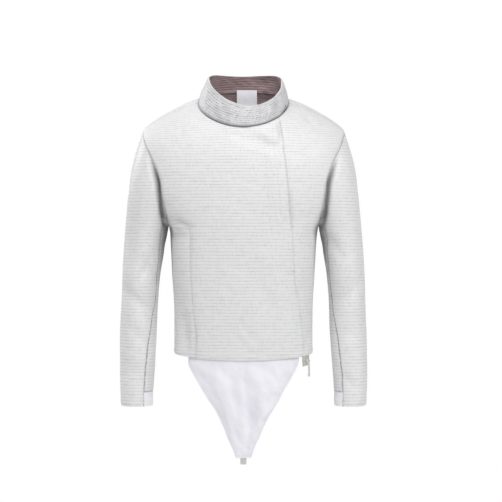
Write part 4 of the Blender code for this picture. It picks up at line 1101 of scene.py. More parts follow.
class Nodes:
    """Short ways to add and join a material's nodes. A value is a number, a colour or a socket."""

    def __init__(self, name):
        self.material = bpy.data.materials.new(name)
        self.material.use_nodes = True
        self.tree = self.material.node_tree
        self.shader = self.tree.nodes["Principled BSDF"]

    def add(self, kind, **values):
        node = self.tree.nodes.new(kind)
        for key, value in values.items():
            setattr(node, key, value)
        return node

    def give(self, socket, value):
        if isinstance(value, bpy.types.NodeSocket):
            self.tree.links.new(value, socket)
        else:
            socket.default_value = value

    def give_colour(self, socket, colour):
        is_plain = not isinstance(colour, bpy.types.NodeSocket)
        self.give(socket, (*colour, 1) if is_plain else colour)

    def math(self, operation, *values):
        node = self.add("ShaderNodeMath", operation=operation)
        for socket, value in zip(node.inputs, values):
            self.give(socket, value)
        return node.outputs[0]

    def times(self, a, b):
        return self.math("MULTIPLY", a, b)

    def plus(self, a, b):
        return self.math("ADD", a, b)

    def waves(self, place, length):
        return self.math("SINE", self.times(place, 2 * math.pi / length))

    def ribs(self, count):
        """Round ribs with sharp grooves between them, a rib for each whole count."""
        return self.math("ABSOLUTE", self.math("SINE", self.times(count, math.pi)))

    def hill(self, away):
        """1 where away is 0, half at 1 to either side, and next to nothing at 3."""
        return self.math("POWER", 0.5, self.times(away, away))

    def place(self):
        """The cloth place in metres, across and up."""
        node = self.add("ShaderNodeUVMap", uv_map="cloth")
        apart = self.add("ShaderNodeSeparateXYZ")
        self.give(apart.inputs[0], node.outputs[0])
        return apart.outputs[0], apart.outputs[1]

    def noise(self, place, scale, detail, roughness=0.5):
        node = self.add("ShaderNodeTexNoise")
        self.give(node.inputs["Vector"], place)
        node.inputs["Scale"].default_value = scale
        node.inputs["Detail"].default_value = detail
        node.inputs["Roughness"].default_value = roughness
        return node.outputs["Fac"]

    def solid_noise(self, spots):
        """Uneven spots in the place of the object's own shape."""
        place = self.add("ShaderNodeTexCoord").outputs["Object"]
        return self.noise(place, *spots)

    def spots(self, across, up, spots):
        """Uneven spots on the cloth."""
        joined = self.add("ShaderNodeCombineXYZ")
        self.give(joined.inputs[0], self.times(across, spots.across))
        self.give(joined.inputs[1], self.times(up, spots.up))
        return self.noise(joined.outputs[0], 1, spots.detail, spots.roughness)

    def remap(self, value, low, high, to_low=0.0, to_high=1.0):
        node = self.add("ShaderNodeMapRange")
        for socket, given in zip(node.inputs, (value, low, high, to_low, to_high)):
            self.give(socket, given)
        return node.outputs[0]

    def mix(self, share, colour_a, colour_b):
        node = self.add("ShaderNodeMix", data_type="RGBA")
        self.give(node.inputs[0], share)
        for index, colour in zip(MIX_COLOURS, (colour_a, colour_b)):
            self.give_colour(node.inputs[index], colour)
        return node.outputs[MIX_RESULT]

    def attribute(self, name):
        return self.add("ShaderNodeAttribute", attribute_name=name).outputs["Fac"]

    def shade(self, reach, most):
        """Painted shade: how dark cloth is made beside or under other cloth within reach."""
        node = self.add("ShaderNodeAmbientOcclusion", samples=SHADE_SAMPLES)
        node.inputs["Distance"].default_value = reach
        return self.remap(node.outputs["AO"], *SHADE_OPENNESS, most, 0)

    def bump(self, height, distance, strength, normal=None):
        node = self.add("ShaderNodeBump")
        node.inputs["Strength"].default_value = strength
        node.inputs["Distance"].default_value = distance
        self.give(node.inputs["Height"], height)
        if normal is not None:
            self.give(node.inputs["Normal"], normal)
        return node.outputs[0]

    def finish(self, colour, roughness, normal=None, **fixed):
        """The finished material. Names in fixed are the shader's own, with _ for a space."""
        self.give_colour(self.shader.inputs["Base Color"], colour)
        self.give(self.shader.inputs["Roughness"], roughness)
        if normal is not None:
            self.give(self.shader.inputs["Normal"], normal)
        for name, value in fixed.items():
            self.shader.inputs[name.replace("_", " ")].default_value = value
        return self.material


# Uneven spots on cloth: how many lie across and up a metre, and how finely they break up. For
# DASHES and PATCHES, up is from one rib to the next.
Spots = namedtuple("Spots", "across up detail roughness")
WANDER = Spots(9, 9, 2, 0.5)
DASHES = Spots(230, 3.7, 3, 0.7)
PATCHES = Spots(34, 3.7, 3, 0.5)
STREAKS = Spots(210, 60, 3, 0.5)
YARN = Spots(900, 700, 2, 0.5)
SEAM_SPOTS = Spots(120, 120, 2, 0.5)
LAME_WEAR = Spots(55, 55, 3, 0.6)
COTTON_WEAR = Spots(41.6, 26, 3, 0.55)
LINING_WEAR = Spots(45, 45, 3, 0.6)
ELASTIC_WEAR = Spots(70, 70, 2, 0.5)

# Spots in a solid: how many lie in a metre, and how finely they break up
SCRATCHES = (900, 4, 0.7)
DULL_SPOTS = (160, 2)
TWIST = (2600, 2)
FLOOR_SPOTS = (3, 4)

# The ribbed cloth: its colours, the pitch of its ribs, how dark its lines are, and how dark the
# painted shadow in its seams and under its foot is
Lame = namedtuple("Lame", "light dark pitch line_least seam_dark foot_dark")
BODY_LAME = Lame((0.80, 0.80, 0.805), (0.54, 0.54, 0.55), 0.0070, 0.4, 0.30, 0)
# The sleeves' seams get a darker painted shadow
ARM_LAME = BODY_LAME._replace(seam_dark=0.90)
# The collar's copy of the cloth has closer ribs with darker lines, and is painted darker overall as
# painted shade
NECK_LAME = Lame((0.68, 0.675, 0.69), (0.08, 0.08, 0.09), 0.0063, 0.1, 0.20, 0.95)
RIB_HEIGHT = 0.00045
YARN_HEIGHT = 0.30
RIB_WANDER = 0.5
GROOVE_SHARPNESS = 2.2
# Painted shade: the colour that the painted shadow in seams, under the collar's foot and in creases
# darkens the cloth to
PAINTED_SHADE_COLOUR = (0.16, 0.16, 0.17)
SEAM_WIDTH = 0.0015
SEAM_LEAST = 0.4
FOOT_SHADOW_REACH = (0.0006, 0.0060)
# A painted highlight along the collar's edges
PAINTED_RIM_HIGHLIGHT = (0.86, 0.86, 0.87)
RIM_HIGHLIGHT_REACH = (0.0008, 0.0030)
RIM_HIGHLIGHT_MOST = 0.40
# Painted shade in creases and under other cloth: its reach and its strength
SHADE_REACH = 0.036
SHADE_MOST = 0.62

# What the values of a pattern are turned into: from the first two, to the other two
DASH_FROM = (0.38, 0.62)
PATCH_SHARE = (0.3, 0.7, 0.32, 1.38)
STREAK_SHARE = (0.50, 0.74, 0, 0.24)
SPECK_SHARE = (0.5, 0.75, 0, 0.20)
SEAM_FROM = (0.35, 0.6)
LAME_ROUGHNESS = (0.3, 0.7, 0.52, 0.70)


def lame_material(name, looks):
    """Ribbed cloth of metal-coated yarn: broken dark lines between the ribs and uneven yarns, with
    painted shadow in its seams, under the collar's foot and in creases, and a painted highlight
    along the collar's edges.
    """
    n = Nodes(name)
    across, up = n.place()
    rib = n.plus(n.times(up, 1 / looks.pitch), n.times(n.spots(across, up, WANDER), RIB_WANDER))
    line = n.math("FLOOR", n.plus(rib, 0.5))
    ribs, yarn = n.ribs(rib), n.spots(across, up, YARN)
    dark = n.math("POWER", n.math("SUBTRACT", 1, ribs), GROOVE_SHARPNESS)
    dark = n.times(dark, n.remap(n.spots(across, line, DASHES), *DASH_FROM, looks.line_least, 1))
    dark = n.times(dark, n.remap(n.spots(across, line, PATCHES), *PATCH_SHARE))
    dark = n.plus(dark, n.remap(n.spots(across, up, STREAKS), *STREAK_SHARE))
    dark = n.plus(dark, n.remap(yarn, *SPECK_SHARE))
    colour = n.mix(dark, looks.light, looks.dark)
    # Painted shadow in the seams' grooves, broken up in spots
    tight = n.remap(n.spots(across, up, SEAM_SPOTS), *SEAM_FROM, SEAM_LEAST, 1)
    seam = n.hill(n.times(n.attribute("sewn"), 1 / SEAM_WIDTH))
    near = n.times(n.times(seam, tight), looks.seam_dark)
    if looks.foot_dark:
        # Painted highlight along the collar's edges
        turned = n.remap(n.attribute("edge"), *RIM_HIGHLIGHT_REACH, RIM_HIGHLIGHT_MOST, 0)
        colour = n.mix(turned, colour, PAINTED_RIM_HIGHLIGHT)
        # Painted shadow under the collar's foot
        near = n.math("MAXIMUM", near, n.remap(up, *FOOT_SHADOW_REACH, looks.foot_dark, 0))
    # Painted shade in creases and under other cloth
    near = n.math("MAXIMUM", near, n.shade(SHADE_REACH, SHADE_MOST))
    colour = n.mix(near, colour, PAINTED_SHADE_COLOUR)
    soft = n.bump(n.spots(across, up, LAME_WEAR), distance=0.0016, strength=0.5)
    woven = n.plus(ribs, n.times(yarn, YARN_HEIGHT))
    normal = n.bump(woven, distance=RIB_HEIGHT, strength=0.45, normal=soft)
    roughness = n.remap(yarn, *LAME_ROUGHNESS)
    return n.finish(colour, roughness, normal, Metallic=0.08, Sheen_Weight=0.20)


# Cotton, and what it is darkened to: a painted cool shade in its hollows, painted shade in a crease,
# and where its hem's turning ends
COTTON_LIGHT = (0.925, 0.92, 0.965)
# The insets' cotton is painted lighter than the rest and gets less painted shade: painted light
INSET_PAINTED_LIGHT = (0.97, 0.97, 0.975)
COTTON_HOLLOW_SHADE = (0.86, 0.855, 0.92)
COTTON_SHADE = (0.55, 0.54, 0.66)
COTTON_SHADE_MOST = 0.35
INSET_SHADE_MOST = 0.10
COTTON_HEM_DARK = (0.55, 0.55, 0.60)
COTTON_HEM_MOST = 0.10
COTTON_HEM = 0.005
COTTON_THREAD = 0.0008
HOLLOW_SHARE = (0.35, 0.65, 0, 1)


def cotton_material(name, colour, shade_most):
    """Plain white cotton with a fine even weave, a faint painted cool shade in its hollows, and
    painted shade in creases.
    """
    n = Nodes(name)
    across, up = n.place()
    weave = n.times(n.waves(across, COTTON_THREAD), n.waves(up, COTTON_THREAD))
    soft = n.spots(across, up, COTTON_WEAR)
    # Painted cool shade in the hollows
    mixed = n.mix(n.remap(soft, *HOLLOW_SHARE), colour, COTTON_HOLLOW_SHADE)
    # Painted shade in creases and under other cloth
    mixed = n.mix(n.shade(SHADE_REACH, shade_most), mixed, COTTON_SHADE)
    turned = n.hill(n.plus(n.times(n.attribute("edge"), 1 / COTTON_HEM), -1))
    mixed = n.mix(n.times(turned, COTTON_HEM_MOST), mixed, COTTON_HEM_DARK)
    worn_down = n.bump(soft, distance=0.0016, strength=0.4)
    normal = n.bump(weave, distance=0.00008, strength=0.6, normal=worn_down)
    return n.finish(mixed, roughness=0.88, normal=normal, Sheen_Weight=0.15)


def darker(colour, share):
    return tuple(value * share for value in colour)


LINING_COLOUR = (0.43, 0.305, 0.31)
# The yoke's lining, the same cloth as the collar's, is painted much lighter: painted light where the
# yoke lies in shade
YOKE_PAINTED_LIGHT_COLOUR = (0.74, 0.56, 0.56)
# Painted shade: the colour that the lining is darkened to at its upper edge and in creases
LINING_SHADE_COLOUR = (0.05, 0.035, 0.036)
LINING_EDGE_SHADE = 0.85
LINING_EDGE_SHADE_REACH = (0.0005, 0.0060)
LINING_PITCH = 0.0062
LINING_WANDER = 0.8
LINING_REACH = 0.012
LINING_SHADE_MOST = 0.7
LINING_RIB_SHARE = (0, 0.7, 0, 1)
LINING_WORN_SHARE = (0.25, 0.6, 0.55, 1)


def lining_material(name, colour, rim):
    """Ribbed lining: darker channels between its ribs, painted shade as dark as rim at its upper
    edge, and painted shade in creases and under other cloth.
    """
    n = Nodes(name)
    across, up = n.place()
    soft = n.spots(across, up, LINING_WEAR)
    ribs = n.ribs(n.plus(n.times(up, 1 / LINING_PITCH), n.times(soft, LINING_WANDER)))
    share = n.times(n.remap(ribs, *LINING_RIB_SHARE), n.remap(soft, *LINING_WORN_SHARE))
    # Painted shade in creases and under other cloth, and at the upper edge
    shade = n.shade(LINING_REACH, LINING_SHADE_MOST)
    dark = n.math("MAXIMUM", n.remap(up, *LINING_EDGE_SHADE_REACH, rim, 0), shade)
    mixed = n.mix(dark, n.mix(share, darker(colour, share=0.42), colour), LINING_SHADE_COLOUR)
    worn_down = n.bump(soft, distance=0.0022, strength=0.8)
    normal = n.bump(ribs, distance=0.0005, strength=0.7, normal=worn_down)
    return n.finish(mixed, roughness=0.85, normal=normal, Sheen_Weight=0.2)


ELASTIC_COLOUR = (0.72, 0.71, 0.695)
CORD_WIDTH = 0.0011
CORD_SHARE = (0, 0.6, 0, 1)
PICK_LENGTH = 0.0009
PICK_HEIGHT = 0.3
ELASTIC_WORN_SHARE = (0.3, 0.7, 0.75, 1)


def elastic_material(name, colour):
    """Elastic webbing: cords along it, and fine picks across."""
    n = Nodes(name)
    across, up = n.place()
    cords = n.ribs(n.times(across, 1 / CORD_WIDTH))
    height = n.plus(cords, n.times(n.waves(up, PICK_LENGTH), PICK_HEIGHT))
    worn_share = n.remap(n.spots(across, up, ELASTIC_WEAR), *ELASTIC_WORN_SHARE)
    share = n.times(n.remap(cords, *CORD_SHARE), worn_share)
    mixed = n.mix(share, darker(colour, share=0.62), colour)
    normal = n.bump(height, distance=0.0003, strength=0.8)
    return n.finish(mixed, roughness=0.8, normal=normal, Sheen_Weight=0.2)


TAPE_COLOUR = (0.70, 0.705, 0.64)
ZIGZAG_WIDTH = 0.0015
TWILL_LENGTH = 0.0010


def tape_material(name, colour):
    """Herringbone zip tape."""
    n = Nodes(name)
    across, up = n.place()
    twill = n.waves(n.plus(up, n.math("PINGPONG", across, ZIGZAG_WIDTH)), TWILL_LENGTH)
    mixed = n.mix(n.remap(twill, -1, 1), darker(colour, share=0.65), colour)
    normal = n.bump(twill, distance=0.00015, strength=0.7)
    return n.finish(mixed, roughness=0.85, normal=normal)


METAL_LIGHT = (0.97, 0.96, 0.94)
METAL_DARK = (0.72, 0.71, 0.69)
SCRATCH_SHARE = (0.45, 0.8, 0, 1)
METAL_ROUGHNESS = (0.3, 0.7, 0.34, 0.50)
THREAD_COLOUR = (0.80, 0.80, 0.81)


def metal_material(name):
    """Bright plated metal with fine scratches."""
    n = Nodes(name)
    scratches = n.solid_noise(SCRATCHES)
    roughness = n.remap(n.solid_noise(DULL_SPOTS), *METAL_ROUGHNESS)
    colour = n.mix(n.remap(scratches, *SCRATCH_SHARE), METAL_LIGHT, METAL_DARK)
    normal = n.bump(scratches, distance=0.00005, strength=0.4)
    return n.finish(colour, roughness, normal, Metallic=0.85)


def thread_material(name, colour):
    """Twisted sewing thread."""
    n = Nodes(name)
    twist = n.solid_noise(TWIST)
    mixed = n.mix(twist, colour, darker(colour, share=0.7))
    normal = n.bump(twist, distance=0.00006, strength=0.5)
    return n.finish(mixed, roughness=0.6, normal=normal, Sheen_Weight=0.2)


LAME = lame_material("lame_cloth_body", BODY_LAME)
SLEEVE_LAME = lame_material("lame_cloth_sleeves", ARM_LAME)
COLLAR_LAME = lame_material("lame_cloth_collar", NECK_LAME)
COTTON = cotton_material("white_cotton_plain", COTTON_LIGHT, COTTON_SHADE_MOST)
# Insets: a lighter copy of the cotton, painted light
INSET_COTTON = cotton_material("white_cotton_insets", INSET_PAINTED_LIGHT, INSET_SHADE_MOST)
LINING = lining_material("taupe_lining_ribbed", LINING_COLOUR, LINING_EDGE_SHADE)
# The yoke's lining: a lighter copy, painted light, with no painted shade at its edge
YOKE_LINING = lining_material("taupe_lining_yoke", YOKE_PAINTED_LIGHT_COLOUR, 0)
ELASTIC = elastic_material("grey_elastic_corded", ELASTIC_COLOUR)
TAPE = tape_material("olive_tape_herringbone", TAPE_COLOUR)
METAL = metal_material("bright_metal_plated")
THREAD = thread_material("sewing_thread", THREAD_COLOUR)


def torso_blocks():
    """The three stretches of the body: wide front, under front and back, on the same rows."""
    front = torso_lattice(front_lines, FRONT_STRIPS, ROWS, COLLAR_RIGHT_INDEX)
    under = torso_lattice(under_lines, UNDER_STRIPS, ROWS)
    back = torso_lattice(back_lines, BACK_STRIPS, ROWS, CENTRE_BACK_INDEX)
    under.raised[:, : UNDER_FLAT_STRIPS * FINER] = 0
    wear(front, ROWS, [(0, CREASE_FRONT)])
    wear(under, ROWS, [(-1, CREASE_FRONT)])
    wear(back, ROWS, [(0, CREASE_BACK), (-1, CREASE_BACK)])
    return front, under, back


def neck_turns():
    """The turns of the body's columns at the neckline, once round."""
    blocks = (front_lines, FRONT_STRIPS), (under_lines, UNDER_STRIPS), (back_lines, BACK_STRIPS)
    turns = [divided(lines(np.zeros(1)), strips)[0][:-1] for lines, strips in blocks]
    return np.concatenate(turns)


def flap_raised(front):
    """The wide front with its closing edge raised over the under front."""
    raised = Lattice(*front.fields())
    columns = np.arange(front.points.shape[1])
    top = (sum(FRONT_STRIPS) - FLAP_STRIPS) * FINER
    out = eased(columns, top - FLAP_RISE_STRIPS * FINER, top)
    free = eased(ROWS, 0, FLAP_FREE_FROM)
    raised.points -= raised.inward * (free[:, None] * out[None, :] * FLAP_RAISE)[:, :, None]
    return raised


def lay_body(front, under, back):
    """The four pieces of the body, and their stitching."""
    flap = flap_raised(front)
    seam = PANEL_SEAM_INDEX
    edge = sum(UNDER_STRIPS) * FINER
    inside = range(LEFT_BACK_INDEX, RIGHT_BACK_INDEX)
    cut("front_main", flap, WALL, LAME, "lame_cloth", lambda r, c: r < PIT_INDEX or c >= seam)
    left = under.beside(back.columns(0, LEFT_BACK_INDEX))
    cut("front_under", left, WALL, LAME, "lame_cloth", lambda r, c: r >= PIT_INDEX or c < edge)
    right = back.columns(RIGHT_BACK_INDEX, back.points.shape[1] - 1)
    side = right.beside(front.columns(0, seam)).part(slice(PIT_INDEX, None), slice(None))
    cut("side_panel", side, WALL, LAME, "lame_cloth")
    cut("back", back, WALL, LAME, "lame_cloth", lambda r, c: r < PIT_INDEX or c in inside)
    hem = np.searchsorted(ROWS, HEM_STITCH_ROW)
    flat = UNDER_FLAT_STRIPS * FINER
    rows = [along_row(flap, hem, seam), along_row(left, hem, flat), along_row(side, hem - PIT_INDEX)]
    rows.append(along_row(back, hem, LEFT_BACK_INDEX, RIGHT_BACK_INDEX + 1))
    low = np.searchsorted(ROWS, FLAP_FREE_FROM)
    for column in (-1 - FLAP_STRIPS * FINER, LAST_SIDE):
        rows.append(along_column(flap, column, low, hem))
    rows.append(along_column(flap, seam + SEAM_SIDE, PIT_INDEX, hem))
    rows.append(along_column(back, LEFT_BACK_INDEX + SEAM_SIDE, PIT_INDEX, hem))
    rows.append(along_column(back, RIGHT_BACK_INDEX - SEAM_SIDE, PIT_INDEX, hem))
    armholes = (flap, SEAM_SIDE), (left, edge - SEAM_SIDE), (back, SEAM_SIDE), (back, LAST_SIDE)
    for lattice, column in armholes:
        rows.append(along_column(lattice, column, TIP_INDEX, PIT_INDEX))
    add_stitches("stitches_body", rows)


def lay_sleeve(side_name, sleeve):
    """The upper and under sleeve, and the cotton inset that ends the under sleeve."""
    upper = sleeve.wrapped(SEAM_STEP_BACK, SEAM_STEP_FRONT)
    cut(f"sleeve_upper_{side_name}", upper, WALL, SLEEVE_LAME, "lame_cloth")
    under = sleeve.columns(SEAM_STEP_FRONT, SEAM_STEP_BACK)
    under.raised[:] = 0
    inset_row = sleeve.points.shape[0] - len(CUFF_ROWS) - 1
    top = under.part(slice(0, inset_row + 1), slice(None))
    cut(f"sleeve_under_{side_name}", top, WALL, SLEEVE_LAME, "lame_cloth")
    inset = under.part(slice(inset_row, None), slice(None))
    cut(f"cuff_inset_{side_name}", inset, COTTON_WALL, INSET_COTTON, "white_cotton")
    rows = [along_row(upper, inset_row + 1), along_row(inset, SEAM_SIDE), along_row(top, -2)]
    rows += [along_column(upper, column, SEAM_SIDE, inset_row) for column in BESIDE_EDGES]
    add_stitches(f"stitches_sleeve_{side_name}", rows)


def lay_collar():
    """The stand collar's three pieces, and the lining inside it."""
    turns = neck_turns()
    shares = np.concatenate([[-COLLAR_LAP, 0], np.linspace(COLLAR_FOOT, 1, COLLAR_STEPS)])
    collar = collar_lattice(turns, shares)
    collar.raised[:2] = COLLAR_PROUD
    ring = collar.closed()
    ring.cloth[..., 1] = shares[:, None] * lengths(ring.points, 0).max()
    centre_back = (sum(FRONT_STRIPS) + sum(UNDER_STRIPS)) * FINER + CENTRE_BACK_INDEX
    right = ring.wrapped(centre_back, COLLAR_RIGHT_INDEX)
    middle = ring.columns(COLLAR_RIGHT_INDEX, COLLAR_LEFT_INDEX)
    left = ring.columns(COLLAR_LEFT_INDEX, centre_back)
    for name, piece in (("right", right), ("front", middle), ("left", left)):
        cut(f"collar_{name}", piece, COLLAR_WALL, COLLAR_LAME, "lame_cloth")
    inside = collar_lattice(turns, np.linspace(*LINING_ENDS, COLLAR_STEPS))
    inside = inside.closed().moved_in(COLLAR_WALL + LAYER)
    cut("collar_lining", inside, LINING_WALL, LINING, "taupe_lining")
    add_stitches("stitches_collar", [along_row(ring, row) for row in COLLAR_STITCH_ROWS])


def lay_neck_inside():
    """The lining inside the back neck, and the label that hangs on it."""
    rows = finer(YOKE_LINING_ROWS)
    yoke = torso_lattice(back_lines, BACK_STRIPS, rows)
    wear(yoke, rows, [])
    yoke = yoke.part(slice(None), slice(FINER, -FINER)).moved_in(WALL + 2 * LAYER)
    cut("yoke_lining", yoke, LINING_WALL, YOKE_LINING, "taupe_lining")
    top = collar_point(divided(label_lines(np.zeros(1)), (LABEL_STRIPS,))[0], LABEL_TOP)
    top[:, 1] -= COLLAR_WALL + LAYER + LINING_WALL + LOOSE_LAYER
    share = np.linspace(0, 1, LABEL_STEPS)[:, None]
    points = np.tile(top, (LABEL_STEPS, 1, 1))
    points[..., 1] -= LABEL_LEAN * share + LABEL_WAVE * np.sin(2 * math.pi * share)
    points[..., 2] -= LABEL_DROP * share
    label = Lattice(points, open_normals(points))
    cut("neck_label", label, LABEL_WALL, COTTON, "white_cotton")
    add_stitches("stitches_label", [along_column(label, column) for column in BESIDE_EDGES])


def pushed_in(lattice):
    """How far the folds of the hem push in what is sewn inside it, as a distance out."""
    held = eased(lattice.points[..., 2], CROTCH_FREE_Z, CROTCH_HELD_Z)
    return np.minimum(worn(lattice, SMALL_FOLDS, CRUMPLES), 0) * held


def lay_crotch():
    """The crotch panel and its strap, with their stitching."""
    panel = crotch_lattice()
    free = 1 - eased(panel.points[..., 2], CROTCH_FREE_Z, CROTCH_HELD_Z)
    panel.moved_out(worn(panel, CROTCH_FOLDS, COTTON_CRUMPLES) * free + pushed_in(panel))
    cut("crotch_panel", panel, COTTON_WALL, COTTON, "white_cotton")
    strap = strap_lattice()
    strap.moved_out(pushed_in(strap))
    cut("crotch_strap", strap, STRAP_WALL, ELASTIC, "grey_elastic")
    sides = [along_column(panel, side, CROTCH_STITCH_ROW) for side in (SEAM_SIDE, LAST_SIDE)]
    across = [along_row(panel, row, inside, -inside) for row, inside in CROTCH_TIP_STITCHES]
    add_stitches("stitches_crotch", sides + across)


def lay_tape():
    """The zip tape, and the teeth on the end that shows."""
    rows = np.concatenate([ROWS[ROWS >= TAPE_FIRST_ROW], finer([HEM_ROW, *TAPE_END_ROWS])[1:]])
    first, last = (strip * FINER for strip in TAPE_STRIPS)
    tape = torso_lattice(under_lines, UNDER_STRIPS, rows).columns(first, last)
    tape.moved_out(worn(tape, SMALL_FOLDS, CRUMPLES))
    tape = tape.moved_in(WALL + LAYER)
    cut("zip_tape", tape, TAPE_WALL, TAPE, "olive_tape")
    add_teeth(tape.part(slice(np.searchsorted(rows, TEETH_FIRST_ROW), None), slice(None)))


# Stitching: a stitch's rings in shares of its length and radius, its size, and where the rows run
StitchRing = namedtuple("StitchRing", "along width rise")
STITCH_RINGS = rows_of(
    StitchRing,
    (0.0, 0.35, -0.6),
    (0.3, 1.00, 0.4),
    (0.7, 1.00, 0.4),
    (1.0, 0.35, -0.6),
)
STITCH_LENGTH = 0.0026
STITCH_SPACE = 0.0011
THREAD_RADIUS = 0.00030
THREAD_SIDES = 5
HEM_STITCH_ROW = 2.972
SEAM_SIDE = 2
LAST_SIDE = -1 - SEAM_SIDE
BESIDE_EDGES = (1, -2)
COLLAR_STITCH_ROWS = (-3, 3)
CROTCH_STITCH_ROW = 4
CROTCH_TIP_STITCHES = ((-3, 3), (-8, 6))


def line_on(lattice, rows, columns):
    """A line on a lattice's outer face, with its normals."""
    normals = lattice.normals[rows, columns]
    return lattice.points[rows, columns] + lattice.raised[rows, columns, None] * normals, normals


def along_row(lattice, row, first=None, last=None):
    return line_on(lattice, row, slice(first, last))


def along_column(lattice, column, first=None, last=None):
    return line_on(lattice, slice(first, last), column)


def resampled(points, values, stops):
    """Values along a line of points at distances from its start."""
    places = lengths(points, 0)
    return np.stack([np.interp(stops, places, values[:, axis]) for axis in range(3)], axis=-1)


def add_stitches(name, lines):
    """One mesh of all the stitches along several lines."""
    verts, faces = [], []
    angles = np.arange(THREAD_SIDES) * 2 * np.pi / THREAD_SIDES
    for points, normals in lines:
        last = lengths(points, 0)[-1] - STITCH_LENGTH
        starts = np.arange(0, last, STITCH_LENGTH + STITCH_SPACE)
        begin = resampled(points, points, starts)
        end = resampled(points, points, starts + STITCH_LENGTH)
        normal = unit(resampled(points, normals, starts + STITCH_LENGTH / 2))
        side = unit(np.cross(normal, end - begin))
        for a, b, n, s in zip(begin, end, normal, side):
            base = len(verts)
            for ring in STITCH_RINGS:
                centre = a + (b - a) * ring.along + n * THREAD_RADIUS * ring.rise
                for angle in angles:
                    out = s * math.cos(angle) + n * math.sin(angle)
                    verts.append(centre + out * THREAD_RADIUS * ring.width)
            for ring in range(len(STITCH_RINGS) - 1):
                for i in range(THREAD_SIDES):
                    j = (i + 1) % THREAD_SIDES
                    low, high = base + ring * THREAD_SIDES, base + (ring + 1) * THREAD_SIDES
                    faces.append((low + i, high + i, high + j, low + j))
            faces.append(tuple(base + i for i in range(THREAD_SIDES)))
            top = base + (len(STITCH_RINGS) - 1) * THREAD_SIDES
            faces.append(tuple(top + i for i in reversed(range(THREAD_SIDES))))
    add_piece(name, mesh_of(name, verts, faces), THREAD)


# Zip teeth: their pitch, each one's length along the tape, its width and height, and the
# outline of its end in shares of these
TEETH_FIRST_ROW = 2.93
TOOTH_PITCH = 0.0016
TOOTH_LENGTH = 0.0009
TOOTH_WIDTH = 0.0044
TOOTH_HEIGHT = 0.0014
TOOTH_OUTLINE = ((-0.25, 1.0), (0.55, 1.0), (0.75, 0.45), (0.75, 0.0), (-0.25, 0.0))


def add_teeth(tape):
    """Interlocked teeth down the middle of a stretch of tape, alternately to either side."""
    middle = tape.points.shape[1] // 2
    points, normals = along_column(tape, middle)
    stops = np.arange(TOOTH_PITCH, lengths(points, 0)[-1] - TOOTH_PITCH, TOOTH_PITCH)
    verts, faces = [], []
    for i, stop in enumerate(stops):
        place = resampled(points, points, np.array([stop]))[0]
        normal = unit(resampled(points, normals, np.array([stop]))[0])
        along = unit(resampled(points, points, np.array([stop + TOOTH_PITCH]))[0] - place)
        side = np.cross(normal, along) * (1 if i % 2 else -1)
        base = len(verts)
        for share, height in TOOTH_OUTLINE:
            for end in (-0.5, 0.5):
                out = side * TOOTH_WIDTH * share + normal * TOOTH_HEIGHT * height
                verts.append(place + out + along * TOOTH_LENGTH * end)
        count = len(TOOTH_OUTLINE)
        for k in range(count):
            j = (k + 1) % count
            faces.append((base + 2 * k, base + 2 * k + 1, base + 2 * j + 1, base + 2 * j))
        faces.append(tuple(base + 2 * k for k in reversed(range(count))))
        faces.append(tuple(base + 2 * k + 1 for k in range(count)))
    mesh = mesh_of("zip_teeth", verts, faces)
    mesh.validate()
    add_piece("zip_teeth", mesh, METAL)


def finish_metal():
    for name in ("zip_slider", "zip_pull"):
        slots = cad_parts[name].data.materials
        slots.clear()
        slots.append(METAL)


# Camera and studio
CAMERA_PLACE = (0.0169, -3.5, -0.333)
SENSOR_MM = 36
PICTURE_WIDTH = 1.1295
WHITE = (1, 1, 1, 1)
WORLD_LIGHT = 0.25
BACKGROUND_LIGHT = 1
FLOOR_Z = -1.45
FLOOR_HALF = 2.9
FLOOR_CORNERS = ((-1, -1), (1, -1), (1, 1), (-1, 1))
FLOOR_DARK = (0.90, 0.90, 0.90)
FLOOR_LIGHT = (0.94, 0.94, 0.94)
FLOOR_GLOW = 0.25
LIGHTS_AIM = (0, 0, -0.25)
Light = namedtuple("Light", "name place size power")
LIGHTS = rows_of(
    Light,
    ("key", (0.8, -2.5, 2.0), 1.3, 49),
    ("top", (-0.5, -0.7, 2.3), 1.2, 26),
    ("left_fill", (-2.6, -1.6, 0.0), 1.8, 13),
    ("right_fill", (2.6, -1.4, 0.0), 1.8, 18),
    ("back_left", (-2.4, 1.7, 1.2), 1.0, 36),
    ("back_right", (2.0, 2.2, 0.4), 1.6, 6),
)


def make_camera():
    data = bpy.data.cameras.new("camera")
    data.sensor_width = SENSOR_MM
    data.lens = SENSOR_MM * -CAMERA_PLACE[1] / PICTURE_WIDTH
    camera = add_object("camera", data)
    camera.location = CAMERA_PLACE
    camera.rotation_euler = (math.radians(90), 0, 0)
    bpy.context.scene.camera = camera


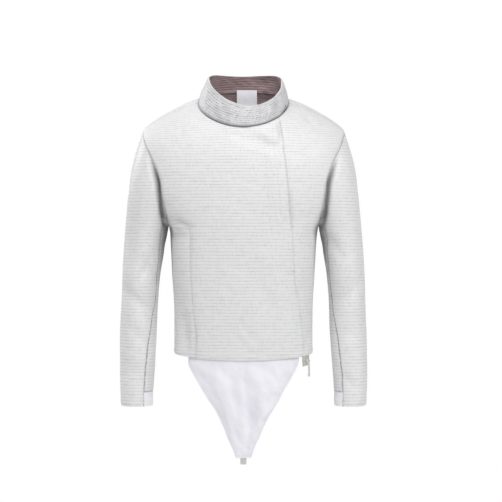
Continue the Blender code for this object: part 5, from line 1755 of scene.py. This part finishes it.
def make_world():
    """Soft white light all round, behind a white background."""
    world = bpy.data.worlds.new("studio")
    world.use_nodes = True
    bpy.context.scene.world = world
    tree = world.node_tree
    soft, white = tree.nodes["Background"], tree.nodes.new("ShaderNodeBackground")
    for node, strength in ((soft, WORLD_LIGHT), (white, BACKGROUND_LIGHT)):
        node.inputs["Color"].default_value = WHITE
        node.inputs["Strength"].default_value = strength
    path = tree.nodes.new("ShaderNodeLightPath")
    mix = tree.nodes.new("ShaderNodeMixShader")
    tree.links.new(path.outputs["Is Camera Ray"], mix.inputs[0])
    tree.links.new(soft.outputs[0], mix.inputs[1])
    tree.links.new(white.outputs[0], mix.inputs[2])
    tree.links.new(mix.outputs[0], tree.nodes["World Output"].inputs["Surface"])
    bpy.context.scene.view_settings.view_transform = "Standard"


def make_lights():
    """Round lamps, each aimed at the middle of the garment."""
    for lamp in LIGHTS:
        data = bpy.data.lights.new(lamp.name, "AREA")
        data.shape = "DISK"
        data.size = lamp.size
        data.energy = lamp.power
        light = add_object(lamp.name, data)
        light.location = lamp.place
        aim = Vector(LIGHTS_AIM) - Vector(lamp.place)
        light.rotation_euler = aim.to_track_quat("-Z", "Y").to_euler()


def make_floor():
    corners = [(x * FLOOR_HALF, y * FLOOR_HALF, FLOOR_Z) for x, y in FLOOR_CORNERS]
    mesh = mesh_of("floor", corners, [(0, 1, 2, 3)])
    n = Nodes("pale_floor")
    pale = n.mix(n.solid_noise(FLOOR_SPOTS), FLOOR_DARK, FLOOR_LIGHT)
    n.give(n.shader.inputs["Emission Color"], WHITE)
    mesh.materials.append(n.finish(pale, roughness=0.7, Emission_Strength=FLOOR_GLOW))
    add_object("floor", mesh)


def make_garment():
    front, under, back = torso_blocks()
    left_sleeve = sleeve_lattice(1, under, -1, back, 0)
    right_sleeve = sleeve_lattice(-1, front, 0, back, -1)
    lay_body(front, under, back)
    lay_sleeve("left", left_sleeve)
    lay_sleeve("right", right_sleeve)
    lay_collar()
    lay_neck_inside()
    lay_crotch()
    lay_tape()
    sew()
    finish_metal()


make_camera()
make_world()
make_lights()
make_floor()
make_garment()
